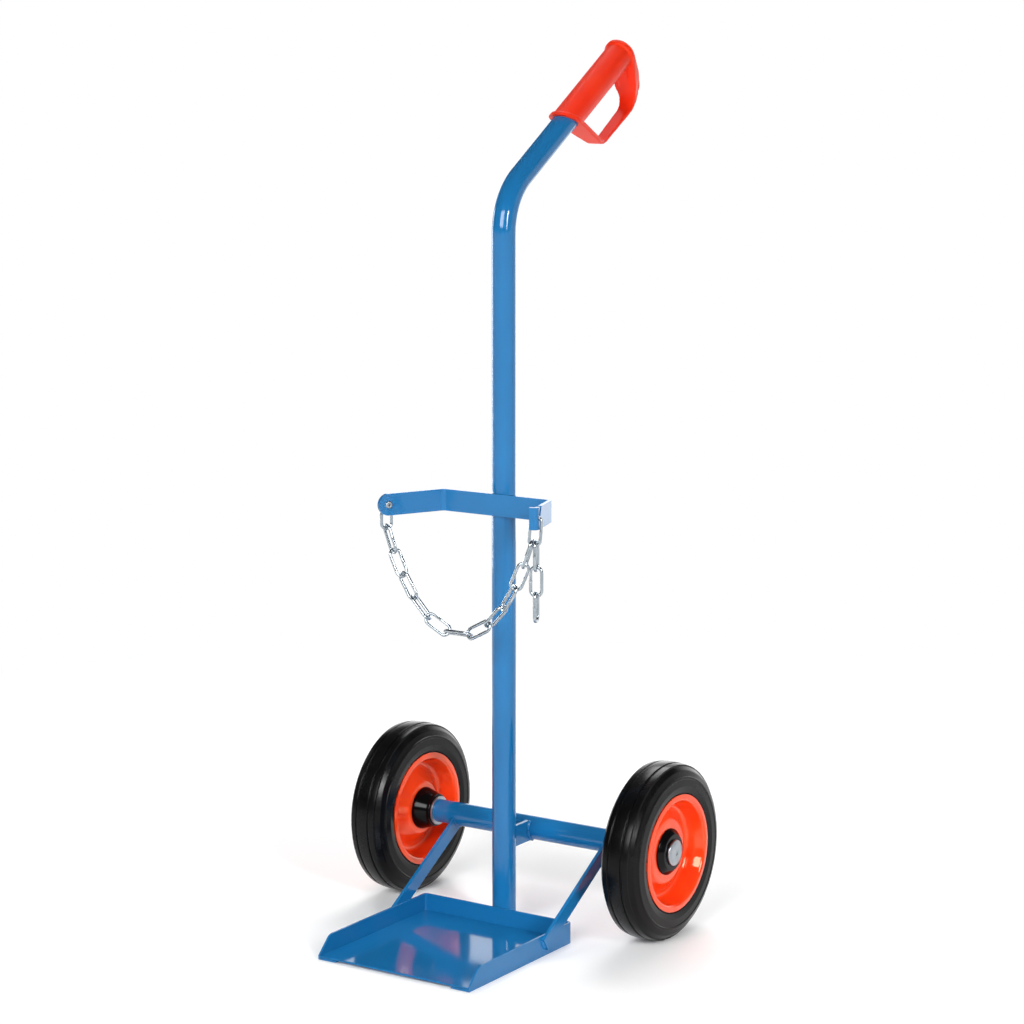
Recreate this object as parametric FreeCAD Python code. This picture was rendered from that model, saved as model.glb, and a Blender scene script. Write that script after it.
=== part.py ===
import FreeCAD
import Part
import os
from math import acos, atan, atan2, cos, degrees, hypot, pi, radians, sin, sqrt, tan
from FreeCAD import Placement, Rotation, Vector

# A two-wheeled cart for one gas cylinder. Lengths are in millimetres. While it is
# being built, the post stands on X = 0, Y = 0, the floor is Z = 0, the tray points
# to -Y and the right wheel is on +X. At the end everything is moved along Y so that
# the origin lies under the middle of the whole cart.

# Post
POST_D = 33.7
POST_WALL = 2.6
POST_BEND_Z = 1026.8
POST_BEND_R = 90.0
POST_LEAN = 57.5

# Handle grip, measured along the leaning part of the post from the bend
GRIP_START = 185.0
GRIP_LENGTH = 177.0
GRIP_WALL = 3.6
GRIP_COLLAR = 2.6
GRIP_COLLAR_LENGTH = 9.0
GRIP_CAP = 5.0
GUARD_SLANT = 34.0
GUARD_PLATE = 6.5
GUARD_THICK = 4.4
GUARD_REACH = 78.2
GUARD_WIDTH = 18.0
GUARD_ROOT_WIDTH = 31.0
GUARD_TOP_WIDTH = 30.6
GUARD_LOW_R = 28.0
GUARD_LOW_INNER_R = 12.0
GUARD_TOP_R = 44.0
GUARD_TOP_INNER_R = 23.0
GUARD_END_WALL = 20.0
GUARD_HEAD = 2.5

# Tray
TRAY_WIDTH = 250.0
TRAY_LENGTH = 254.0
ANGLE_SIZE = 30.0
ANGLE_THICK = 3.0
TRAY_CORNER_R = 6.0
TRAY_WALL_SLOPE = 25.0
FLOOR_THICK = 3.0

# Axle
AXLE_TUBE_D = 33.7
AXLE_TUBE_WALL = 2.6
AXLE_SHAFT_D = 20.0
AXLE_GAP = 40.0
AXLE_BUSH_LENGTH = 18.0
BRACKET_BAR = (30.0, 5.0)
BRACE_BAR = (20.0, 5.0)
BRACE_ANGLE = 31.55
BRACE_FOOT_Z = 8.6

# Wheels
WHEEL_D = 250.0
WHEEL_WIDTH = 60.0
WHEEL_TRACK = 425.0
RIM_LIP_R = 82.6
RIM_SEAT_R = 73.0
RIM_SHEET = 2.5
RIM_LIP_RISE = 3.2
RIM_OUTER_DISH = 13.0
RIM_INNER_DISH = 21.5
HUB_TUBE_D = 40.0
HUB_TUBE_WALL = 5.0
HUB_TUBE_END = 19.0
HUB_STEP = 5.0
HUB_REACH_IN = 45.0
HUB_REACH_OUT = 21.8
HUB_COVER_R = 32.8
ROLLER_COUNT = 10
TREAD_GROOVE = (3.0, 2.2)
TREAD_GROOVE_X = 10.0
AXLE_WASHER = (21.0, 3.0)
LOCK_CAP = (18.4, 4.8)
CAP_DIMPLE = (3.6, 0.8)

# Holder bar and its chain
HOLDER_Z = 606.2
HOLDER_BAR = (30.5, 5.0)
HOLDER_LEFT_BEND = 89.3
HOLDER_RIGHT_BEND = 91.0
HOLDER_LEFT_ANGLE = 64.0
HOLDER_LEFT_WING = 105.0
HOLDER_RIGHT_ANGLE = 73.0
HOLDER_RIGHT_WING = 74.0
HOLDER_TONGUE = 12.0
SLOT_WIDTH = 7.4
SLOT_DEPTH = 18.0
SLOT_LEAN = 25.0
RIVET_D = 6.0
CHAIN_WIRE = 4.5
CHAIN_PITCH = 35.0
CHAIN_INNER_WIDTH = 11.0
CHAIN_SPAN_LINKS = 11
TAIL_LINKS = 3
CHAIN_ROLL = 150.0
TWISTED_LINKS = (4, 5, 6, 10, 11, 12)
HOOK_TILT = 5.0

# Clearances
WELD_FIT = 0.0
SEAT = 0.1
FIT = 0.05
RUN = 0.3
PLAY = 0.3
CHAIN_PLAY = 0.5

# Sizes that follow
POST_R = POST_D / 2
AXLE_R = AXLE_TUBE_D / 2
WHEEL_R = WHEEL_D / 2
AXLE_Y = POST_R + AXLE_GAP + AXLE_R
AXLE_Z = WHEEL_R
WHEEL_X = WHEEL_TRACK / 2
HALF_WIDTH = WHEEL_WIDTH / 2
TRAY_BACK = -POST_R - WELD_FIT
TRAY_FRONT = TRAY_BACK - TRAY_LENGTH
GRIP_END = GRIP_START + GRIP_LENGTH
GRIP_R = POST_R + SEAT + GRIP_WALL
SHAFT_R = AXLE_SHAFT_D / 2
HUB_BORE_R = HUB_TUBE_D / 2 - HUB_TUBE_WALL
HUB_INNER_X = WHEEL_X - HUB_REACH_IN
AXLE_TUBE_HALF = HUB_INNER_X - 5.5
CAP_X = WHEEL_X + HUB_REACH_OUT
WIRE_R = CHAIN_WIRE / 2
LINK_BEND_R = (CHAIN_INNER_WIDTH + CHAIN_WIRE) / 2
LINK_REACH = (CHAIN_PITCH + CHAIN_PLAY + CHAIN_WIRE) / 2

X_AXIS = Vector(1, 0, 0)
Y_AXIS = Vector(0, 1, 0)
Z_AXIS = Vector(0, 0, 1)


def plan(u, v):
    """A point of a plan outline, seen from above."""
    return Vector(u, v, 0)


def side(u, v):
    """A point of an outline in the middle plane: u along Y, v along Z."""
    return Vector(0, u, v)


def half_section(u, v):
    """A point of a turned section: u along the axis X, v the radius."""
    return Vector(u, 0, v)


def rounded_wire(corners, to_space, closed=True):
    """A wire through corners (u, v, radius), each rounded by its own radius."""
    count = len(corners)
    ends = []
    for i, (u, v, radius) in enumerate(corners):
        point = Vector(u, v, 0)
        at_end = not closed and i in (0, count - 1)
        if radius <= 0 or at_end:
            ends.append((point, None, point))
            continue
        before = Vector(*corners[i - 1][:2], 0) - point
        after = Vector(*corners[(i + 1) % count][:2], 0) - point
        before.normalize()
        after.normalize()
        half = acos(max(-1.0, min(1.0, before.dot(after)))) / 2
        middle = before + after
        middle.normalize()
        reach = radius / tan(half)
        top = point + middle * (radius / sin(half) - radius)
        ends.append((point + before * reach, top, point + after * reach))
    edges = []
    for i, (start, top, finish) in enumerate(ends):
        if i > 0 or closed:
            last = ends[i - 1][2]
            if last.distanceToPoint(start) > 1e-6:
                edges.append(Part.makeLine(to_space(last.x, last.y), to_space(start.x, start.y)))
        if top is not None:
            arc = Part.Arc(to_space(start.x, start.y), to_space(top.x, top.y), to_space(finish.x, finish.y))
            edges.append(arc.toShape())
    return Part.Wire(Part.__sortEdges__(edges))


def rounded_face(corners, to_space):
    """The face inside a closed outline with rounded corners."""
    return Part.Face(rounded_wire(corners, to_space))


def sheet_corners(path, thick):
    """The closed outline of a sheet that follows a path, thickened to the path's left."""
    points = [Vector(u, v, 0) for u, v, _ in path]
    steps = [points[i + 1] - points[i] for i in range(len(points) - 1)]
    for step in steps:
        step.normalize()
    normals = [Vector(-step.y, step.x, 0) for step in steps]
    far = []
    for i, (u, v, radius) in enumerate(path):
        if i in (0, len(path) - 1):
            normal = normals[0] if i == 0 else normals[-1]
            moved = points[i] + normal * thick
            far.append((moved.x, moved.y, 0))
            continue
        one = normals[i - 1]
        two = normals[i]
        moved = points[i] + (one + two) * (thick / (1 + one.dot(two)))
        turn = steps[i - 1].x * steps[i].y - steps[i - 1].y * steps[i].x
        bend = radius + abs(thick)
        if turn * thick > 0:
            bend = max(0, radius - abs(thick))
        far.append((moved.x, moved.y, bend if radius > 0 else 0))
    return list(path) + far[::-1]


def turned(corners):
    """A ring turned about the X axis from its half section (x, radius, rounding)."""
    return rounded_face(corners, half_section).revolve(Vector(0, 0, 0), X_AXIS, 360)


def rod_x(radius, x0, x1, y, z):
    """A cylinder along X."""
    return Part.makeCylinder(radius, x1 - x0, Vector(x0, y, z), X_AXIS)


def ring_x(outer, inner, x0, x1, y, z):
    """A plain ring along X."""
    return rod_x(outer, x0, x1, y, z).cut(rod_x(inner, x0 - 1, x1 + 1, y, z))


def mirrored(shape):
    """The same piece for the other side of the cart."""
    return shape.mirror(Vector(0, 0, 0), X_AXIS)


def frame_of(origin, x_dir, y_dir):
    """A placement with the given origin, local X and local Y directions."""
    z_dir = x_dir.cross(y_dir)
    matrix = FreeCAD.Matrix(
        x_dir.x, y_dir.x, z_dir.x, origin.x,
        x_dir.y, y_dir.y, z_dir.y, origin.y,
        x_dir.z, y_dir.z, z_dir.z, origin.z,
        0, 0, 0, 1,
    )
    return Placement(matrix)


def handle_frame():
    """Local frame of the leaning part: Z along the tube, Y down and back, X across."""
    return Placement(Vector(0, 0, POST_BEND_Z), Rotation(X_AXIS, -POST_LEAN))


def post_sweep(radius, foot, head):
    """A round bar along the post's bent line, from a foot height to a length past the bend."""
    lean = radians(POST_LEAN)
    reach = POST_BEND_R * tan(lean / 2)
    low = Vector(0, 0, POST_BEND_Z - reach)
    rise = Vector(0, sin(lean), cos(lean))
    centre = low + Vector(0, POST_BEND_R, 0)
    middle = centre + Vector(0, -cos(lean / 2), sin(lean / 2)) * POST_BEND_R
    high = Vector(0, 0, POST_BEND_Z) + rise * reach
    line = Part.Wire([
        Part.makeLine(Vector(0, 0, foot), low),
        Part.Arc(low, middle, high).toShape(),
        Part.makeLine(high, Vector(0, 0, POST_BEND_Z) + rise * head),
    ])
    disc = Part.Wire(Part.makeCircle(radius, Vector(0, 0, foot), Z_AXIS))
    return line.makePipeShell([disc], True, True)


def make_post():
    """The bent post: an open tube from the floor into the grip."""
    head = GRIP_END - GRIP_CAP - SEAT
    outside = post_sweep(POST_R, 0.0, head)
    inside = post_sweep(POST_R - POST_WALL, -1.0, head + 1.0)
    return outside.cut(inside)


def upright_section(corners):
    """A slab across the cart from an outline (along the tube, away from its axis, rounding)."""
    wide = GRIP_R * 4
    return rounded_face(corners, lambda a, b: Vector(-wide / 2, b, a)).extrude(X_AXIS * wide)


def guard_corner():
    """How far along the tube the slanted plate's lower face meets the strip's outer face."""
    return GRIP_START + GUARD_REACH * tan(radians(GUARD_SLANT))


def make_guard_bar():
    """Slanted plate round the tube, strip behind the fingers and thick bend back to the grip's end."""
    slope = tan(radians(GUARD_SLANT))
    edge = GRIP_R + GRIP_COLLAR + 2.0
    root = GRIP_R - GRIP_WALL
    head = GRIP_END + GUARD_HEAD
    wall = head - GUARD_END_WALL
    inner = GUARD_REACH - GUARD_THICK
    upper = GRIP_START + GUARD_PLATE / cos(radians(GUARD_SLANT))
    return upright_section([
        (GRIP_START - edge * slope, -edge, 0),
        (guard_corner(), GUARD_REACH, GUARD_LOW_R),
        (head, GUARD_REACH, GUARD_TOP_R),
        (head, root, 3.0),
        (wall, root, 0),
        (wall, inner, GUARD_TOP_INNER_R),
        (upper + inner * slope, inner, GUARD_LOW_INNER_R),
        (upper - edge * slope, -edge, 0),
    ])


def make_guard_mask():
    """Everything within the guard's width: round the tube, narrow at the strip, wide at the end."""
    collar = GRIP_R + GRIP_COLLAR
    root = GUARD_ROOT_WIDTH / 2
    narrow = GUARD_WIDTH / 2
    wide = GUARD_TOP_WIDTH / 2
    split = guard_corner() - 4.0
    wall = GRIP_END + GUARD_HEAD - GUARD_END_WALL
    below = Part.makeCylinder(collar, split, Vector(0, 0, 0))
    web = [
        (-collar * 0.94, collar * 0.34, 0),
        (-root, GUARD_REACH * 0.6, 30.0),
        (-narrow - 1.0, GUARD_REACH, 0),
        (narrow + 1.0, GUARD_REACH, 0),
        (root, GUARD_REACH * 0.6, 30.0),
        (collar * 0.94, collar * 0.34, 0),
    ]
    below = below.fuse(rounded_face(web, plan).extrude(Z_AXIS * split))
    strip = [
        (split, -narrow - 2.0, 0),
        (split + 12.0, -narrow, 16.0),
        (wall, -narrow, 20.0),
        (GRIP_END - 3.0, -wide, 6.0),
        (GRIP_END + GUARD_HEAD + 2.0, -wide, 0),
    ]
    strip = strip + [(a, -x, rounding) for a, x, rounding in strip[::-1]]
    above = rounded_face(strip, lambda a, x: Vector(x, 0, a)).extrude(Y_AXIS * (GUARD_REACH + 5))
    return below, above


def make_grip():
    """The moulded grip: sleeve with a collar and a closed end, and the guard behind the fingers."""
    collar = GRIP_R + GRIP_COLLAR
    bore = POST_R + SEAT
    slope = tan(radians(GUARD_SLANT))
    low = GRIP_START - collar * slope
    top = GRIP_END - GRIP_COLLAR_LENGTH
    sleeve = [
        (low, bore, 0),
        (low, GRIP_R, 0),
        (top - 3, GRIP_R, 4),
        (top, collar, 2.6),
        (GRIP_END, collar, 4.5),
        (GRIP_END, 0, 0),
        (GRIP_END - GRIP_CAP, 0, 0),
        (GRIP_END - GRIP_CAP, bore, 0),
    ]
    body = rounded_face(sleeve, lambda a, r: Vector(0, r, a)).revolve(Vector(0, 0, 0), Z_AXIS, 360)
    # the sleeve starts on the slanted plate's lower face
    body = body.common(upright_section([
        (GRIP_START - GUARD_REACH * slope, -GUARD_REACH, 0),
        (GRIP_START + GUARD_REACH * slope, GUARD_REACH, 0),
        (GRIP_END + 20, GUARD_REACH, 0),
        (GRIP_END + 20, -GUARD_REACH, 0),
    ]))
    bar = make_guard_bar()
    below, above = make_guard_mask()
    grip = body.fuse([bar.common(below), bar.common(above)])
    grip = grip.cut(Part.makeCylinder(bore, GRIP_END - GRIP_CAP))
    grip = grip.removeSplitter()
    grip.Placement = handle_frame()
    return grip


def make_tray_rim():
    """One steel angle, notched and bent round three sides of the tray."""
    half = TRAY_WIDTH / 2
    path = [
        (half, TRAY_FRONT, 0),
        (half, TRAY_BACK, TRAY_CORNER_R),
        (-half, TRAY_BACK, TRAY_CORNER_R),
        (-half, TRAY_FRONT, 0),
    ]
    wall = rounded_face(sheet_corners(path, ANGLE_THICK), plan).extrude(Z_AXIS * ANGLE_SIZE)
    foot = rounded_face(sheet_corners(path, ANGLE_SIZE), plan).extrude(Z_AXIS * ANGLE_THICK)
    front = [
        (TRAY_FRONT - 5, ANGLE_THICK + FLOOR_THICK, 0),
        (TRAY_FRONT, ANGLE_THICK + FLOOR_THICK, 0),
        (TRAY_FRONT + TRAY_WALL_SLOPE, ANGLE_SIZE, 0),
        (TRAY_FRONT + TRAY_WALL_SLOPE, ANGLE_SIZE + 5, 0),
        (TRAY_FRONT - 5, ANGLE_SIZE + 5, 0),
    ]
    slope = rounded_face(front, side).extrude(X_AXIS * (TRAY_WIDTH + 10))
    slope.translate(X_AXIS * (-half - 5))
    return wall.fuse(foot).cut(slope).removeSplitter()


def make_tray_floor():
    """The sheet that lies on the flanges, between the walls."""
    half = TRAY_WIDTH / 2 - ANGLE_THICK - SEAT
    back = TRAY_BACK - ANGLE_THICK - SEAT
    corner = max(0, TRAY_CORNER_R - ANGLE_THICK)
    corners = [
        (half, TRAY_FRONT, 0),
        (half, back, corner),
        (-half, back, corner),
        (-half, TRAY_FRONT, 0),
    ]
    sheet = rounded_face(corners, plan).extrude(Z_AXIS * FLOOR_THICK)
    sheet.translate(Z_AXIS * ANGLE_THICK)
    return sheet


def make_axle_tube():
    """The cross tube behind the post."""
    inner = AXLE_R - AXLE_TUBE_WALL
    return ring_x(AXLE_R, inner, -AXLE_TUBE_HALF, AXLE_TUBE_HALF, AXLE_Y, AXLE_Z)


def make_axle_shaft():
    """The steel shaft through the axle tube and both wheels."""
    end = CAP_X + 3.0
    shaft = rod_x(SHAFT_R, -end, end, AXLE_Y, AXLE_Z)
    rims = [edge for edge in shaft.Edges if edge.Closed]
    return shaft.makeChamfer(1.0, rims)


def make_axle_bush():
    """A steel ring that carries the shaft in one end of the axle tube."""
    outer = AXLE_R - AXLE_TUBE_WALL - FIT
    return ring_x(outer, SHAFT_R + FIT, AXLE_TUBE_HALF - AXLE_BUSH_LENGTH, AXLE_TUBE_HALF, AXLE_Y, AXLE_Z)


def make_bracket():
    """The flat bar on edge between the post and the axle tube, coped to both."""
    tall, thick = BRACKET_BAR
    low = AXLE_Z - AXLE_R
    bar = Part.makeBox(thick, AXLE_Y, tall, Vector(-thick / 2, 0, low))
    bar = bar.cut(Part.makeCylinder(POST_R + WELD_FIT, tall * 3, Vector(0, 0, low - tall)))
    return bar.cut(rod_x(AXLE_R + WELD_FIT, -thick, thick, AXLE_Y, AXLE_Z))


def make_brace():
    """The right flat-bar brace: along the tray wall, up to the front of the axle tube."""
    wide, thick = BRACE_BAR
    slope = radians(BRACE_ANGLE)
    along = Vector(0, cos(slope), sin(slope))
    across = Vector(0, -sin(slope), cos(slope))
    # the bar's lower edge runs just under the axle, its foot stands at the named height
    under = Vector(0, AXLE_Y, AXLE_Z) - across * (AXLE_R - 1.2)
    foot = under - along * ((under.z - BRACE_FOOT_Z) / sin(slope))
    ends = [foot, under + along * 2, under + along * 2 + across * wide, foot + across * wide]
    corners = [(p.y, p.z, 0) for p in ends]
    bar = rounded_face(corners, side).extrude(X_AXIS * thick)
    bar.translate(X_AXIS * (TRAY_WIDTH / 2 + WELD_FIT))
    return bar.cut(rod_x(AXLE_R + WELD_FIT, 0, TRAY_WIDTH, AXLE_Y, AXLE_Z))


def left_wing():
    """Start, direction and outward normal of the holder's left wing."""
    turn = radians(HOLDER_LEFT_ANGLE)
    start = Vector(-HOLDER_LEFT_BEND, -POST_R - WELD_FIT, HOLDER_Z)
    return start, Vector(-cos(turn), -sin(turn), 0), Vector(-sin(turn), cos(turn), 0)


def right_wing():
    """Start, direction and outward normal of the holder's right wing."""
    turn = radians(HOLDER_RIGHT_ANGLE)
    start = Vector(HOLDER_RIGHT_BEND, -POST_R - WELD_FIT, HOLDER_Z)
    return start, Vector(cos(turn), -sin(turn), 0), Vector(sin(turn), cos(turn), 0)


def rivet_point():
    """Where the chain's rivet goes through the left wing, on its outer face."""
    start, along, _ = left_wing()
    return start + along * (HOLDER_LEFT_WING - HOLDER_BAR[0] / 2)


def slot_point():
    """The middle of the slot's bottom, halfway through the right wing's thickness."""
    start, along, out = right_wing()
    run = HOLDER_RIGHT_WING - HOLDER_BAR[1] - WIRE_R - 1.4
    low = HOLDER_Z + HOLDER_BAR[0] / 2 - SLOT_DEPTH
    point = start + along * run - out * (HOLDER_BAR[1] / 2)
    return Vector(point.x, point.y, low)


def make_holder():
    """The bent flat bar: rounded left end with the rivet hole, right end with slot and tongue."""
    tall, thick = HOLDER_BAR
    l_start, l_dir, l_out = left_wing()
    r_start, r_dir, r_out = right_wing()
    tip = l_start + l_dir * HOLDER_LEFT_WING
    corner = r_start + r_dir * HOLDER_RIGHT_WING
    tongue = corner - r_out * HOLDER_TONGUE
    path = [
        (tongue.x, tongue.y, 0),
        (corner.x, corner.y, thick + 1.5),
        (r_start.x, r_start.y, thick + 2.5),
        (l_start.x, l_start.y, thick + 7.0),
        (tip.x, tip.y, 0),
    ]
    bar = rounded_face(sheet_corners(path, thick), plan).extrude(Z_AXIS * tall)
    bar.translate(Z_AXIS * (HOLDER_Z - tall / 2))
    rivet = rivet_point()
    disc = Part.makeCylinder(tall / 2, thick * 4, rivet + l_out * thick * 2, l_out * -1)
    block = Part.makeBox(tall, tall * 2, thick * 4)
    block.Placement = frame_of(rivet - Z_AXIS * tall - l_out * thick * 2, l_dir, Z_AXIS)
    if block.Placement.Rotation.multVec(Z_AXIS).dot(l_out) < 0:
        block.Placement = frame_of(rivet - Z_AXIS * tall + l_out * thick * 2, l_dir, Z_AXIS)
    bar = bar.cut(block).fuse(bar.common(block).common(disc)).removeSplitter()
    hole = Part.makeCylinder(RIVET_D / 2 + FIT, thick * 4, rivet + l_out * thick * 2, l_out * -1)
    bar = bar.cut(hole)
    low = slot_point()
    lean = radians(SLOT_LEAN)
    up = Z_AXIS * cos(lean) - r_dir * sin(lean)
    half = SLOT_WIDTH / 2
    centre = low + Z_AXIS * half
    skin = thick / 2 + 0.6
    arm = Part.makeBox(SLOT_DEPTH * 2, SLOT_WIDTH, skin * 2)
    across = r_out.cross(up)
    arm.Placement = frame_of(centre - across * half - r_out * skin, up, across)
    if arm.Placement.Rotation.multVec(Z_AXIS).dot(r_out) < 0:
        arm.Placement = frame_of(centre + across * half - r_out * skin, up, across * -1)
    end = Part.makeCylinder(half, skin * 2, centre - r_out * skin, r_out)
    return bar.cut(arm.fuse(end)).removeSplitter()


def make_rivet():
    """The hollow rivet: head inside the wing, shank through the link, upset end outside."""
    grip = HOLDER_BAR[1] + CHAIN_WIRE + 2 * PLAY + 1.5
    shank = RIVET_D / 2
    section = [
        (-HOLDER_BAR[1] - 1.8, 1.6, 0.4),
        (-HOLDER_BAR[1] - 1.8, shank + 1.6, 1.2),
        (-HOLDER_BAR[1], shank + 2.4, 0),
        (-HOLDER_BAR[1], shank, 0),
        (grip - HOLDER_BAR[1] + FIT, shank, 0),
        (grip - HOLDER_BAR[1] + FIT, shank + 1.8, 0),
        (grip - HOLDER_BAR[1] + 2.4, shank + 0.6, 0.8),
        (grip - HOLDER_BAR[1] + 2.4, 1.6, 0.4),
    ]
    rivet = turned(section)
    _, along, out = left_wing()
    rivet.Placement = frame_of(rivet_point(), out, along)
    return rivet


def make_rivet_washer():
    """The washer between the hanging link and the rivet's upset end."""
    start = CHAIN_WIRE + 2 * PLAY
    washer = turned([
        (start, RIVET_D / 2 + FIT, 0),
        (start, RIVET_D / 2 + 4.5, 0.3),
        (start + 1.5, RIVET_D / 2 + 4.5, 0.3),
        (start + 1.5, RIVET_D / 2 + FIT, 0),
    ])
    _, along, out = left_wing()
    washer.Placement = frame_of(rivet_point(), out, along)
    return washer


def make_link(centre, along, lateral):
    """One welded chain link: round wire bent to a flat oval."""
    bend = LINK_BEND_R
    straight = 2 * (LINK_REACH - bend)
    corners = [
        Vector(-straight / 2, -bend, 0),
        Vector(straight / 2, -bend, 0),
        Vector(straight / 2 + bend, 0, 0),
        Vector(straight / 2, bend, 0),
        Vector(-straight / 2, bend, 0),
        Vector(-straight / 2 - bend, 0, 0),
    ]
    line = Part.Wire([
        Part.makeLine(corners[0], corners[1]),
        Part.Arc(corners[1], corners[2], corners[3]).toShape(),
        Part.makeLine(corners[3], corners[4]),
        Part.Arc(corners[4], corners[5], corners[0]).toShape(),
    ])
    disc = Part.Wire(Part.makeCircle(WIRE_R, corners[0], X_AXIS))
    link = line.makePipeShell([disc], True, True)
    lateral = lateral - along * lateral.dot(along)
    lateral.normalize()
    link.Placement = frame_of(centre, along, lateral)
    return link


def rivet_link():
    """Centre of the first link, which hangs on the rivet outside the left wing."""
    _, _, out = left_wing()
    on_rivet = rivet_point() + out * (WIRE_R + PLAY)
    return on_rivet + Z_AXIS * (RIVET_D / 2 + PLAY - LINK_REACH + WIRE_R)


def hook_link():
    """Centre, long direction and lateral direction of the link hooked into the slot."""
    _, _, out = right_wing()
    tilt = radians(HOOK_TILT)
    inner = CHAIN_INNER_WIDTH / 2
    shift = inner - HOLDER_BAR[1] / 2 - 1.4
    # the link's round inside rests on the edges of the wing's thickness
    corner = HOLDER_BAR[1] / 2 + shift
    rise = inner - sqrt(inner * inner - corner * corner)
    top = slot_point() - out * shift + Z_AXIS * (rise + 2 * PLAY)
    down = Z_AXIS * -cos(tilt) - out * sin(tilt)
    lateral = out * cos(tilt) - Z_AXIS * sin(tilt)
    return top + down * (LINK_REACH - WIRE_R), down, lateral


def hook_ends():
    """Wire centres of the chain's last link and of the first loose link, side by side in the hook link."""
    centre, down, lateral = hook_link()
    bend = centre + down * (LINK_REACH - LINK_BEND_R)
    beside = WIRE_R + CHAIN_PLAY / 2
    free = CHAIN_INNER_WIDTH / 2 - WIRE_R - CHAIN_PLAY
    low = bend + down * sqrt(max(0.0, free * free - beside * beside))
    return low - lateral * beside, low + lateral * beside


def run_of_links(slopes):
    """Link centres of a hanging run in its own upright plane, and the wire centre at its far end.

    The run starts from the wire centre at the bottom of an upright link.
    """
    gap = CHAIN_WIRE + CHAIN_PLAY
    last = Vector(0, -1, 0)
    wire = Vector(0, 0, 0)
    centres = []
    for slope in slopes:
        step = Vector(cos(slope), sin(slope), 0)
        between = last + step
        between.normalize()
        centre = wire - between * gap + step * LINK_REACH
        wire = centre + step * LINK_REACH
        centres.append(centre)
        last = step
    return centres, wire


def hanging_slopes(span, rise, count):
    """Slopes of a hanging run of equal links, solved so that it reaches the span and the rise."""
    def slopes_for(pull, low):
        return [atan((i - low) / pull) for i in range(count)]

    def balanced(pull):
        first, last = -2.0 * count, 3.0 * count
        for _ in range(50):
            low = (first + last) / 2
            if run_of_links(slopes_for(pull, low))[1].y > rise:
                first = low
            else:
                last = low
        return slopes_for(pull, low)

    slack, taut = 0.05, 60.0
    for _ in range(50):
        pull = sqrt(slack * taut)
        slopes = balanced(pull)
        if run_of_links(slopes)[1].x < span:
            slack = pull
        else:
            taut = pull
    return slopes


def link_rolls(last_roll):
    """Roll of each hanging link: quarter turns, and a twist shared by the twisted links."""
    numbers = range(2, CHAIN_SPAN_LINKS + 2)
    twisted = [number for number in numbers if number in TWISTED_LINKS]
    plain = CHAIN_ROLL + 90.0 * (CHAIN_SPAN_LINKS - 1)
    twist = ((last_roll - plain) % 180.0) / max(1, len(twisted))
    rolls = []
    roll = CHAIN_ROLL
    for number in numbers:
        if rolls:
            roll += 90.0
        if number in twisted:
            roll += twist
        rolls.append(roll)
    return rolls


def make_chain():
    """All links: the one on the rivet, the hanging run, the hook link and the loose tail."""
    links = {}
    _, wing, _ = left_wing()
    first = rivet_link()
    links["chain_link_01"] = make_link(first, Z_AXIS * -1, wing)
    centre, down, lateral = hook_link()
    links["chain_link_%02d" % (CHAIN_SPAN_LINKS + 2)] = make_link(centre, down, lateral)
    finish, loose = hook_ends()
    across = down.cross(lateral)
    start = first - Z_AXIS * LINK_REACH
    step = finish - start
    span = hypot(step.x, step.y)
    level = Vector(step.x / span, step.y / span, 0)
    away = Z_AXIS.cross(level)
    slopes = hanging_slopes(span, step.z, CHAIN_SPAN_LINKS)
    centres, _ = run_of_links(slopes)
    # the last hanging link lies parallel to the first loose link
    end_flat = Z_AXIS * cos(slopes[-1]) - level * sin(slopes[-1])
    last_roll = degrees(atan2(across.dot(away), across.dot(end_flat)))
    rolls = link_rolls(last_roll)
    for i, (slope, middle, roll) in enumerate(zip(slopes, centres, rolls)):
        along = level * cos(slope) + Z_AXIS * sin(slope)
        flat = Z_AXIS * cos(slope) - level * sin(slope)
        turn = flat * cos(radians(roll)) + away * sin(radians(roll))
        place = start + level * middle.x + Z_AXIS * middle.y
        links["chain_link_%02d" % (i + 2)] = make_link(place, along, turn)
    for i in range(TAIL_LINKS):
        middle = loose - Z_AXIS * (LINK_REACH + CHAIN_PITCH * i)
        turn = across if i % 2 == 0 else lateral
        links["tail_link_%d" % (i + 1)] = make_link(middle, Z_AXIS * -1, turn)
    return links


def make_rim_half(dish):
    """One pressed steel rim half, from the hub to the rolled lip, seen from its own side."""
    path = [
        (dish, HUB_TUBE_D / 2 + FIT, 0),
        (dish, RIM_SEAT_R - 17.5 - (dish - RIM_SHEET), 8.0),
        (RIM_SHEET, RIM_SEAT_R - 15.5, 9.0),
        (RIM_SHEET, RIM_SEAT_R - 7.0, 6.0),
        (HALF_WIDTH - 2.0, RIM_SEAT_R, 5.5),
        (HALF_WIDTH, RIM_SEAT_R + RIM_LIP_RISE, 3.0),
        (HALF_WIDTH - 1.0, RIM_LIP_R, 0),
    ]
    return turned(sheet_corners(path, RIM_SHEET))


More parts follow.
